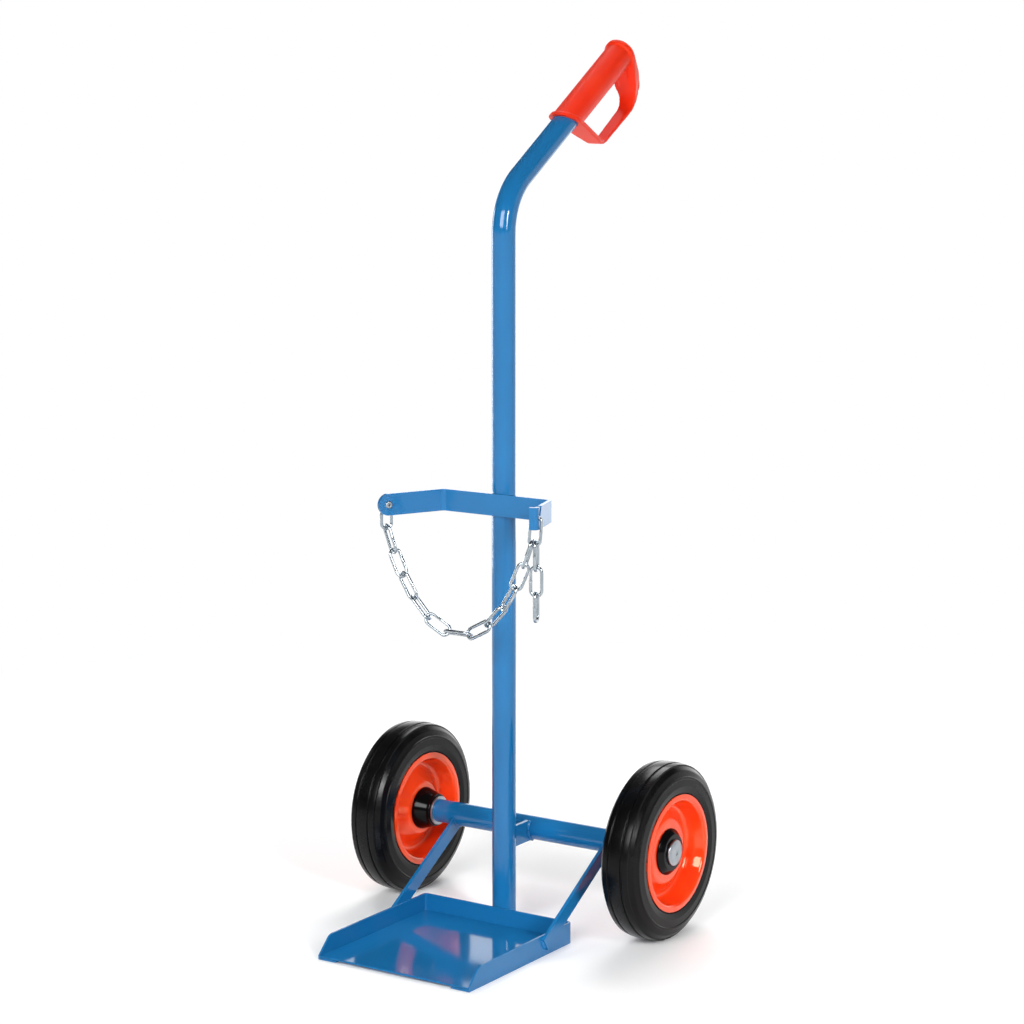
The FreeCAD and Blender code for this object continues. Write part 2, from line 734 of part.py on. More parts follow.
def make_tyre():
    """The solid rubber tyre: grooved tread, stepped shoulders, ribbed walls, seat on both rims."""
    seat = RIM_SEAT_R + RIM_SHEET + SEAT
    lip = HALF_WIDTH - RIM_SHEET - 1.0 - SEAT
    groove, deep = TREAD_GROOVE
    tread = WHEEL_R
    right = [
        (lip - 5.0, seat + 1.2, 0),
        (lip, seat + 4.0, 0),
        (lip - 0.6, RIM_LIP_R + 1.0, 0),
        (HALF_WIDTH - 1.6, RIM_LIP_R + 2.0, 0),
        (HALF_WIDTH, RIM_LIP_R + 11.0, 6.0),
        (HALF_WIDTH - 0.8, RIM_LIP_R + 21.0, 0),
        (HALF_WIDTH - 0.2, RIM_LIP_R + 21.8, 0),
        (HALF_WIDTH - 0.6, RIM_LIP_R + 24.5, 0),
        (HALF_WIDTH - 1.6, RIM_LIP_R + 25.0, 0),
        (HALF_WIDTH - 4.5, tread - 9.5, 6.0),
        (HALF_WIDTH - 9.8, tread - 4.4, 0),
        (HALF_WIDTH - 10.4, tread - 2.2, 0),
        (TREAD_GROOVE_X + groove / 2, tread - 0.6, 0),
        (TREAD_GROOVE_X + groove / 2 - 0.5, tread - deep, 0),
        (TREAD_GROOVE_X - groove / 2 + 0.5, tread - deep, 0),
        (TREAD_GROOVE_X - groove / 2, tread - 0.3, 0),
        (3.0, tread, 0),
    ]
    left = [(-x, r, rounding) for x, r, rounding in right[::-1]]
    return turned(right + left)


def make_hub_tube():
    """The steel tube in the wheel's middle; the rim halves sit on it."""
    return turned([
        (HUB_STEP - HUB_REACH_IN, HUB_BORE_R, 0),
        (HUB_STEP - HUB_REACH_IN, HUB_TUBE_D / 2, 0),
        (HUB_TUBE_END, HUB_TUBE_D / 2, 0),
        (HUB_TUBE_END, HUB_BORE_R, 0),
    ])


def make_bearing():
    """Rollers in their cage, between the hub tube and the shaft."""
    length = WHEEL_WIDTH * 0.7
    ring = (SHAFT_R + HUB_BORE_R) / 2
    radius = (HUB_BORE_R - SHAFT_R) / 2 - FIT
    inner = ring - radius * 0.7
    outer = ring + radius * 0.7
    start = -length / 2 - 8.0
    cage = ring_x(outer, inner, start, start + 2.5, 0, 0)
    cage = cage.fuse(ring_x(outer, inner, start + length - 2.5, start + length, 0, 0))
    rollers = []
    for i in range(ROLLER_COUNT):
        turn = 2 * pi * i / ROLLER_COUNT
        y, z = ring * cos(turn), ring * sin(turn)
        rollers.append(rod_x(radius, start + 2.5 + FIT, start + length - 2.5 - FIT, y, z))
        turn += pi / ROLLER_COUNT
        y, z = ring * cos(turn), ring * sin(turn)
        cage = cage.fuse(rod_x(0.9, start + 1.0, start + length - 1.0, y, z))
    return Part.makeCompound([cage.removeSplitter()] + rollers)


def make_outer_cover():
    """The black plastic hub cover on the wheel's outer side."""
    base = RIM_OUTER_DISH + FIT
    face = HUB_REACH_OUT - RUN
    bore = SHAFT_R + RUN
    return turned([
        (base, HUB_TUBE_D / 2 + FIT, 0),
        (base, HUB_COVER_R, 0.6),
        (base + 2.0, HUB_COVER_R - 0.4, 1.5),
        (face, HUB_COVER_R - 7.5, 1.5),
        (face, bore, 0),
        (HUB_TUBE_END + FIT, bore, 0),
        (HUB_TUBE_END + FIT, HUB_TUBE_D / 2 + FIT, 0),
    ])


def make_inner_cover():
    """The black plastic bell on the wheel's inner side."""
    base = -RIM_INNER_DISH - FIT
    tip = -HUB_REACH_IN - 2.0
    bore = SHAFT_R + RUN
    step = HUB_STEP - HUB_REACH_IN - FIT
    return turned([
        (base, HUB_TUBE_D / 2 + FIT, 0),
        (base, HUB_COVER_R - 1.8, 0.6),
        (base - 3.5, HUB_COVER_R - 2.4, 4.0),
        (tip + 4.0, HUB_COVER_R - 9.2, 10.0),
        (tip, HUB_COVER_R - 9.2, 1.2),
        (tip, bore, 0),
        (step, bore, 0),
        (step, HUB_TUBE_D / 2 + FIT, 0),
    ])


def make_axle_washer():
    """The zinc washer between the axle tube's end and the wheel."""
    radius, thick = AXLE_WASHER
    return turned([
        (AXLE_TUBE_HALF, SHAFT_R + FIT, 0),
        (AXLE_TUBE_HALF, radius, 0.4),
        (AXLE_TUBE_HALF + thick, radius, 0.4),
        (AXLE_TUBE_HALF + thick, SHAFT_R + FIT, 0),
    ])


def make_lock_cap():
    """The zinc cap pressed on the shaft's end, with a dimple in the middle."""
    radius, thick = LOCK_CAP
    dimple, deep = CAP_DIMPLE
    bottom = CAP_X + thick - deep
    shaft_end = CAP_X + 3.0 + FIT
    return turned([
        (CAP_X, SHAFT_R + FIT, 0),
        (CAP_X, radius, 0.5),
        (CAP_X + thick - 1.6, radius, 1.8),
        (CAP_X + thick, radius - 5.4, 3.0),
        (CAP_X + thick, dimple, 0.8),
        (bottom, dimple - 1.0, 0),
        (bottom, 0, 0),
        (shaft_end, 0, 0),
        (shaft_end, SHAFT_R + FIT, 0),
    ])


def make_wheel():
    """The pieces of the right wheel; the axle's washer and cap come with them."""
    inner = make_rim_half(RIM_INNER_DISH)
    wheel = {
        "tyre": make_tyre(),
        "rim_outer": make_rim_half(RIM_OUTER_DISH),
        "rim_inner": mirrored(inner),
        "hub_tube": make_hub_tube(),
        "roller_bearing": make_bearing(),
        "hub_cover_outer": make_outer_cover(),
        "hub_cover_inner": make_inner_cover(),
    }
    for piece in wheel.values():
        piece.translate(Vector(WHEEL_X, AXLE_Y, AXLE_Z))
    axle = {"axle_washer": make_axle_washer(), "lock_cap": make_lock_cap()}
    for piece in axle.values():
        piece.translate(Vector(0, AXLE_Y, AXLE_Z))
    wheel.update(axle)
    return wheel


def make_cart():
    """Every piece of the cart by its node name."""
    cart = {
        "post_tube": make_post(),
        "handle_grip": make_grip(),
        "tray_rim": make_tray_rim(),
        "tray_floor": make_tray_floor(),
        "axle_tube": make_axle_tube(),
        "axle_shaft": make_axle_shaft(),
        "axle_bracket": make_bracket(),
        "cylinder_holder": make_holder(),
        "chain_rivet": make_rivet(),
        "rivet_washer": make_rivet_washer(),
    }
    cart.update(make_chain())
    paired = {"axle_bush": make_axle_bush(), "brace": make_brace()}
    paired.update(make_wheel())
    for name, piece in paired.items():
        cart["right_" + name] = piece
        cart["left_" + name] = mirrored(piece)
    return cart


def middle_y(cart):
    """Y of the middle of the whole cart."""
    front = min(piece.optimalBoundingBox(False).YMin for piece in cart.values())
    back = max(piece.optimalBoundingBox(False).YMax for piece in cart.values())
    return (front + back) / 2


def main():
    """Build every piece, move the cart over its origin and write one file per piece."""
    cart = make_cart()
    shift = Y_AXIS * -middle_y(cart)
    os.makedirs("parts", exist_ok=True)
    for name, piece in cart.items():
        piece.translate(shift)
        piece.exportStep("parts/" + name + ".step")


main()
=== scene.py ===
import logging
import math
from collections.abc import Callable, Sequence
from dataclasses import dataclass, field
from enum import Enum
from functools import cache

import bmesh
import bpy
import numpy as np
from bmesh.types import BMEdge, BMesh, BMVert
from bpy.types import Material, Mesh, Node, NodeSocket, NodeTree, Object
from mathutils import Matrix, Vector


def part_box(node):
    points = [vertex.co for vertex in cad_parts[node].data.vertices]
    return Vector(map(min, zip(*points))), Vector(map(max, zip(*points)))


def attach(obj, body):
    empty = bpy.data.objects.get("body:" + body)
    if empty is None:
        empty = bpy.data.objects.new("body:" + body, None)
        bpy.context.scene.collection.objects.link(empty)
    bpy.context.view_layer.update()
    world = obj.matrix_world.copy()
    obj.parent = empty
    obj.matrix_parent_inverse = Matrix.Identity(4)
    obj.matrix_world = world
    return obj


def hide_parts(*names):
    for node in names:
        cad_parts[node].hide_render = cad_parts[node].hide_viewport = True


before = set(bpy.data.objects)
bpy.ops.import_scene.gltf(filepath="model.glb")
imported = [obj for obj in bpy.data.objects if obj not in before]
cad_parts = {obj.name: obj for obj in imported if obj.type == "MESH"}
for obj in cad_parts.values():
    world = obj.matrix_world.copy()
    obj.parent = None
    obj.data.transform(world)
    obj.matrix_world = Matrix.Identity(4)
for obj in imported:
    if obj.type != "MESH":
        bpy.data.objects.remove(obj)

# The looks of a two-wheeled cart for one gas cylinder. Sizes are in millimetres, as on a
# drawing: a mesh is modelled in millimetres and scaled to metres when it becomes a piece.
# Places come from the frame, and the post's axis is where the welded parts are measured from.

MM = 0.001
LOG = logging.getLogger("cart")

# Fineness of the meshes
ROUND_STEPS = 5
EASE_STEPS = 2
WHEEL_STEPS = 160
TUBE_STEPS = 72
SHARP_ANGLE = math.radians(36)
BLUNT_ANGLES = (math.radians(30), math.radians(60))
FLAT_ANGLE = math.radians(0.6)
SAME_POINT = 0.004

Line = Callable[[float], Vector]


class Side(Enum):
    """The two sides of the cart, with the sign of X on each."""

    LEFT = -1
    RIGHT = 1

    @property
    def word(self) -> str:
        """The word that starts the names of this side's nodes."""
        return self.name.lower()


class Body(Enum):
    """The bodies of the cart that pieces ride on."""

    FRAME = "cart_frame"
    LEFT_WHEEL = "left_wheel"
    RIGHT_WHEEL = "right_wheel"
    CHAIN = "chain_run"
    TAIL_1 = "tail_1"
    TAIL_2 = "tail_2"
    TAIL_3 = "tail_3"


# Finishes


def linear(code: str) -> tuple[float, float, float, float]:
    """Turn an sRGB colour, as "#RRGGBB", into linear light with an alpha of 1."""
    parts = [int(code[i:i + 2], 16) / 255 for i in (1, 3, 5)]
    light = [c / 12.92 if c <= 0.04045 else ((c + 0.055) / 1.055) ** 2.4 for c in parts]
    return (*light, 1.0)


def feed(tree: NodeTree, node: Node, inputs: dict) -> None:
    """Give sockets, by name or number, a value each or the output to link."""
    for key, value in inputs.items():
        if isinstance(value, NodeSocket):
            tree.links.new(value, node.inputs[key])
        else:
            node.inputs[key].default_value = value


def add(
    tree: NodeTree, kind: str, settings: dict | None = None, inputs: dict | None = None
) -> Node:
    """Add one shader node with its settings and links.

    Args:
        tree: The node tree that gets the node.
        kind: The node's type, without the ShaderNode in front.
        settings: Properties to set on the node; "ramp" fills a colour ramp.
        inputs: What to feed its sockets.

    Returns:
        The new node.
    """
    node = tree.nodes.new("ShaderNode" + kind)
    for key, value in (settings or {}).items():
        if key == "ramp":
            for element, (place, colour) in zip(node.color_ramp.elements, value):
                element.position = place
                element.color = colour
        else:
            setattr(node, key, value)
    feed(tree, node, inputs or {})
    return node


def noise(
    tree: NodeTree, place: NodeSocket, size: float, detail: float, roughness: float = 0.5
) -> NodeSocket:
    """Add a noise whose pattern repeats about every size millimetres."""
    made = add(tree, "TexNoise", inputs={
        "Vector": place, "Scale": 1 / (size * MM), "Detail": detail, "Roughness": roughness})
    return made.outputs["Fac"]


def fade(
    tree: NodeTree, value: NodeSocket, span: Sequence[float], top: float | NodeSocket = 1.0
) -> NodeSocket:
    """Turn a value smoothly into 0 at the span's start and the top at its end."""
    made = add(tree, "MapRange", {"interpolation_type": "SMOOTHSTEP"}, {
        "Value": value, "From Min": span[0], "From Max": span[1], "To Max": top})
    return made.outputs["Result"]


@dataclass(frozen=True)
class Finish:
    """What every finish has: a name, a slot name and a colour."""

    name: str
    slot: str
    colour: str

    def material(self) -> Material:
        """Build the finish as a node material on Object coordinates."""
        made = bpy.data.materials.new(self.name)
        made.use_nodes = True
        tree = made.node_tree
        tree.nodes.clear()
        shader = add(tree, "BsdfPrincipled")
        add(tree, "OutputMaterial", inputs={"Surface": shader.outputs["BSDF"]})
        place = add(tree, "TexCoord").outputs["Object"]
        self.dress(tree, shader, place)
        made.diffuse_color = linear(self.colour)
        return made

    def dress(self, tree: NodeTree, shader: Node, place: NodeSocket) -> None:
        """Add the finish's own nodes; each kind of finish has its own."""
        raise NotImplementedError

    @staticmethod
    def skin(
        tree: NodeTree,
        shader: Node,
        tone: tuple[NodeSocket, Sequence[tuple[float, str]]],
        gloss: tuple[NodeSocket, tuple[float, float]],
        relief: tuple[NodeSocket, float, float],
        more: dict,
        span: tuple[float, float] = (0.0, 1.0),
    ) -> None:
        """Give a shader its colour, its uneven gloss and its relief.

        Args:
            tree: The material's node tree.
            shader: The shader that gets them.
            tone: A pattern, and the places and colours of its ramp.
            gloss: A pattern, and the roughness at its low and high ends.
            relief: A pattern, the bump's strength and its height in millimetres.
            more: What else to feed the shader.
            span: The values at the two ends of the gloss pattern.
        """
        pattern, stops = tone
        ramp = [(place, linear(code)) for place, code in stops]
        colour = add(tree, "ValToRGB", {"ramp": ramp}, {"Fac": pattern})
        pattern, (low, high) = gloss
        rough = add(tree, "MapRange", inputs={
            "Value": pattern, "From Min": span[0], "From Max": span[1],
            "To Min": low, "To Max": high})
        pattern, strength, height = relief
        bump = add(tree, "Bump", inputs={
            "Height": pattern, "Strength": strength, "Distance": height * MM})
        feed(tree, shader, {
            "Base Color": colour.outputs["Color"], "Roughness": rough.outputs["Result"],
            "Normal": bump.outputs["Normal"], **more})


@dataclass(frozen=True)
class PowderCoat(Finish):
    """Polyester powder coat on steel: deep gloss, with the slight orange peel of baked powder."""

    shade: str = "#176AA2"
    peel: float = 3.2
    peel_depth: float = 0.035
    peel_height: float = 0.3
    drift: float = 190.0
    gloss: tuple[float, float] = (0.07, 0.11)
    index: float = 1.5

    def dress(self, tree: NodeTree, shader: Node, place: NodeSocket) -> None:
        """Tone that drifts over a hand's width, and the peel as bump and uneven gloss."""
        drift = noise(tree, place, self.drift, 2.0)
        peel = noise(tree, place, self.peel, 1.0)
        self.skin(tree, shader, (drift, [(0.3, self.shade), (0.7, self.colour)]),
                  (peel, self.gloss), (peel, self.peel_depth, self.peel_height),
                  {"IOR": self.index})


@dataclass(frozen=True)
class GlossEnamel(Finish):
    """Stoved enamel on pressed steel: wet gloss, smooth, a little darker where it runs thin."""

    shade: str = "#F63C10"
    sheen: str = "#FFE6C4"
    drift: float = 60.0
    wave: float = 9.0
    wave_depth: float = 0.06
    wave_height: float = 0.3
    gloss: tuple[float, float] = (0.03, 0.06)
    index: float = 1.72

    def dress(self, tree: NodeTree, shader: Node, place: NodeSocket) -> None:
        """Slow waves from pressing under a smooth coat."""
        drift = noise(tree, place, self.drift, 2.0)
        wave = noise(tree, place, self.wave, 1.0)
        self.skin(tree, shader, (drift, [(0.3, self.shade), (0.65, self.colour)]),
                  (wave, self.gloss), (wave, self.wave_depth, self.wave_height),
                  {"IOR": self.index, "Specular Tint": linear(self.sheen)})


@dataclass(frozen=True)
class MouldedPlastic(Finish):
    """Injection-moulded plastic: even colour, a spark-eroded grain and a soft or glossy skin."""

    shade: str = "#FA2E0C"
    flow: float = 70.0
    grain: float = 1.4
    grain_depth: float = 0.12
    grain_height: float = 0.15
    gloss: tuple[float, float] = (0.3, 0.4)
    index: float = 1.42
    glow: float = 0.0
    glow_reach: float = 2.0

    def dress(self, tree: NodeTree, shader: Node, place: NodeSocket) -> None:
        """Grain drawn coarse enough to show, and a slow change of tone from the mould's flow."""
        flow = noise(tree, place, self.flow, 2.0)
        grain = noise(tree, place, self.grain, 2.0)
        self.skin(tree, shader, (flow, [(0.3, self.shade), (0.7, self.colour)]),
                  (grain, self.gloss), (grain, self.grain_depth, self.grain_height),
                  {"IOR": self.index, "Subsurface Weight": self.glow,
                   "Subsurface Scale": self.glow_reach * MM})


@dataclass(frozen=True)
class TyreRubber(Finish):
    """Vulcanised rubber: near black, waxy sheen from the mould, greyer where it was handled."""

    dust: str = "#121213"
    bloom: float = 45.0
    pore: float = 1.2
    pore_depth: float = 0.12
    pore_height: float = 0.15
    gloss: tuple[float, float] = (0.2, 0.3)
    index: float = 1.26

    def dress(self, tree: NodeTree, shader: Node, place: NodeSocket) -> None:
        """Broad patches of bloom and a fine pore grain."""
        bloom = noise(tree, place, self.bloom, 5.0, roughness=0.6)
        pores = noise(tree, place, self.pore, 3.0)
        self.skin(tree, shader, (bloom, [(0.42, self.colour), (0.8, self.dust)]),
                  (bloom, self.gloss), (pores, self.pore_depth, self.pore_height),
                  {"IOR": self.index}, span=(0.3, 0.7))


@dataclass(frozen=True)
class MetalSkin(Finish):
    """Plated or bare steel: metallic, with spangle or tooling that breaks up the reflection."""

    shade: str = "#A9ADB0"
    spangle: float = 5.0
    gloss: tuple[float, float] = (0.18, 0.32)
    depth: float = 0.08
    height: float = 0.2

    def dress(self, tree: NodeTree, shader: Node, place: NodeSocket) -> None:
        """Cloudy plating with a fine bump."""
        cloud = noise(tree, place, self.spangle, 1.5)
        self.skin(tree, shader, (cloud, [(0.35, self.shade), (0.65, self.colour)]),
                  (cloud, self.gloss), (cloud, self.depth, self.height),
                  {"Metallic": 1.0}, span=(0.3, 0.7))


BLUE_COAT = PowderCoat("powder_coat_blue", "blue_coat", "#1B73AE")
RED_GRIP = MouldedPlastic("moulded_grip_red", "red_plastic", "#FF3812", gloss=(0.38, 0.5),
                          index=1.33, glow=0.05)
RIM_ENAMEL = GlossEnamel("stoved_enamel_orange", "orange_coat", "#FE4818")
TYRE_RUBBER = TyreRubber("vulcanised_rubber", "tyre_rubber", "#060607")
HUB_BLACK = MouldedPlastic("moulded_hub_black", "black_plastic", "#08080A", shade="#050506",
                           grain_depth=0.03, gloss=(0.1, 0.18), index=1.28)
ZINC_PLATE = MetalSkin("bright_zinc_plate", "zinc_plate", "#AEB4B9", shade="#9EA5AB", spangle=14.0,
                       gloss=(0.28, 0.38), depth=0.02)
ZINC_CHAIN = MetalSkin("zinc_plated_wire", "zinc_chain", "#BBC3C9", shade="#A6B0B7", spangle=18.0,
                       gloss=(0.16, 0.24), depth=0.0)
OILED_STEEL = MetalSkin("oiled_steel", "bare_steel", "#8C8B89", shade="#6F6E6C", spangle=8.0,
                        gloss=(0.25, 0.4))


@cache
def material_of(finish: Finish) -> Material:
    """The finish's material, made once."""
    return finish.material()


# Mesh tools


def bevel(bm: BMesh, geom: list, offset: float, steps: int = ROUND_STEPS,
          affect: str = "EDGES", clamp: bool = False) -> None:
    """Round off some edges or corners of a mesh."""
    bmesh.ops.bevel(
        bm, geom=geom, offset=offset, offset_type="OFFSET", segments=steps, profile=0.5,
        affect=affect, material=-1, clamp_overlap=clamp)


def lathe(corners: Sequence[tuple], steps: int = WHEEL_STEPS, closed: bool = True) -> BMesh:
    """Draw a half section in the XZ plane and turn it about the X axis.

    Args:
        corners: X, Z and rounding of each corner.
        steps: How many facets go round.
        closed: Whether the last corner joins the first.

    Returns:
        The turned mesh.
    """
    bm = bmesh.new()
    verts = [bm.verts.new((x, 0, z)) for x, z, _ in corners]
    for one, two in zip(verts, verts[1:]):
        bm.edges.new((one, two))
    if closed:
        bm.edges.new((verts[-1], verts[0]))
    for vert, (_, _, rounding) in zip(verts, corners):
        if rounding > 0:
            one, two = (edge.other_vert(vert).co - vert.co for edge in vert.link_edges)
            reach = rounding / math.tan(one.angle(two) / 2)
            bevel(bm, [vert], reach, affect="VERTICES")
    bmesh.ops.spin(
        bm, geom=bm.verts[:] + bm.edges[:], cent=(0, 0, 0), axis=(1, 0, 0), dvec=(0, 0, 0),
        angle=2 * math.pi, steps=steps, use_merge=True, use_normal_flip=False, use_duplicate=False)
    tidy(bm)
    return bm


def tidy(bm: BMesh) -> None:
    """Merge doubles and turn the faces outwards."""
    bmesh.ops.remove_doubles(bm, verts=bm.verts, dist=SAME_POINT)
    bmesh.ops.recalc_face_normals(bm, faces=bm.faces)


def ring_of(grown: dict) -> tuple[list, list]:
    """The vertices and edges of the ring that an extrusion or spin ends in."""
    geometry = grown.get("geom_last", grown.get("geom"))
    verts = [item for item in geometry if isinstance(item, BMVert)]
    inside = set(verts)
    edges = [item for item in geometry
             if isinstance(item, BMEdge) and inside.issuperset(item.verts)]
    return verts, edges


def pull(bm: BMesh, edges: list, step: Vector) -> tuple[list, list]:
    """Extrude a ring's edges by a step, to a new ring of vertices and edges."""
    verts, ring = ring_of(bmesh.ops.extrude_edge_only(bm, edges=edges))
    bmesh.ops.translate(bm, verts=verts, vec=step)
    return verts, ring


def swing(bm: BMesh, ring: tuple[list, list], centre: Vector, axis: Vector,
          angle: float, steps: int) -> tuple[list, list]:
    """Carry a ring round an arc.

    Args:
        bm: The mesh.
        ring: The ring's vertices and edges.
        centre: A point on the arc's axis.
        axis: The direction of that axis.
        angle: The arc, in radians.
        steps: Facets along the arc.

    Returns:
        The last ring's vertices and edges.
    """
    verts, edges = ring
    return ring_of(bmesh.ops.spin(
        bm, geom=verts + edges, cent=centre, axis=axis, dvec=(0, 0, 0), angle=angle, steps=steps,
        use_merge=False, use_normal_flip=False, use_duplicate=False))


def put(name: str, data: bpy.types.ID) -> Object:
    """Make an object of a mesh, lamp or camera and show it."""
    made = bpy.data.objects.new(name, data)
    bpy.context.scene.collection.objects.link(made)
    return made


def new_piece(
    name: str,
    bm: BMesh,
    finish: Finish,
    body: Body,
    replaces: Sequence[str] = (),
    place: Matrix | None = None,
) -> Object:
    """Make a finished bmesh a piece of the cart.

    Args:
        name: The piece's name.
        bm: Its mesh in millimetres; it is freed.
        finish: What it is coated with or made of.
        body: The body that it rides on.
        replaces: The nodes that it stands for.
        place: Where its own frame lies, in millimetres.

    Returns:
        The new object.
    """
    mesh = bpy.data.meshes.new(name)
    move = place or Matrix.Identity(4)
    bmesh.ops.transform(bm, matrix=Matrix.Scale(MM, 4) @ move, verts=bm.verts)
    if move.determinant() < 0:
        bmesh.ops.reverse_faces(bm, faces=bm.faces)
    bm.to_mesh(mesh)
    bm.free()
    return dressed(name, mesh, finish, body, replaces)


def dressed(name: str, mesh: Mesh, finish: Finish, body: Body,
            replaces: Sequence[str]) -> Object:
    """Make a mesh a piece, as new_piece does, when it is in place and in metres already."""
    mesh.shade_smooth()
    mesh.set_sharp_from_angle(angle=SHARP_ANGLE)
    mesh.materials.append(material_of(finish))
    made = put(name, mesh)
    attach(made, body.value)
    if replaces:
        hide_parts(*replaces)
    LOG.info("%s: %d faces on %s", name, len(mesh.polygons), body.value)
    return made


def node_mesh(node: str) -> BMesh:
    """A merged copy of a node's mesh, in millimetres."""
    bm = bmesh.new()
    bm.from_mesh(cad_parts[node].data)
    bmesh.ops.scale(bm, vec=Vector((1, 1, 1)) / MM, verts=bm.verts)
    bmesh.ops.remove_doubles(bm, verts=bm.verts, dist=SAME_POINT)
    return bm


def eased(node: str, ease: float, corner: float = 0.0) -> BMesh:
    """A node cut from bar or sheet, with its sharp edges eased as under a coat of powder.

    Args:
        node: The node's name.
        ease: The width of the eased edge.
        corner: How far the blunt upper corners are rounded off.

    Returns:
        The eased copy as a bmesh.
    """
    bm = node_mesh(node)
    bmesh.ops.dissolve_limit(bm, angle_limit=FLAT_ANGLE, use_dissolve_boundaries=False,
                             verts=bm.verts, edges=bm.edges)
    if corner:
        nearly_top = max(vert.co.z for vert in bm.verts) - 1
        low, high = BLUNT_ANGLES
        blunt = [edge for edge in bm.edges
                 if len(edge.link_faces) == 2 and min(v.co.z for v in edge.verts) > nearly_top
                 and low < edge.calc_face_angle() < high]
        bevel(bm, blunt, corner)
    sharp = [edge for edge in bm.edges
             if len(edge.link_faces) == 2 and edge.calc_face_angle() > SHARP_ANGLE]
    bevel(bm, sharp, ease, EASE_STEPS, clamp=True)
    return bm


def box_mm(node: str) -> tuple[Vector, Vector]:
    """A node's lowest and highest corners, in millimetres."""
    low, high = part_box(node)
    return low / MM, high / MM


def middle_of(node: str) -> Vector:
    """The middle of a node's box, in millimetres."""
    low, high = box_mm(node)
    return (low + high) / 2


# Sub-assemblies


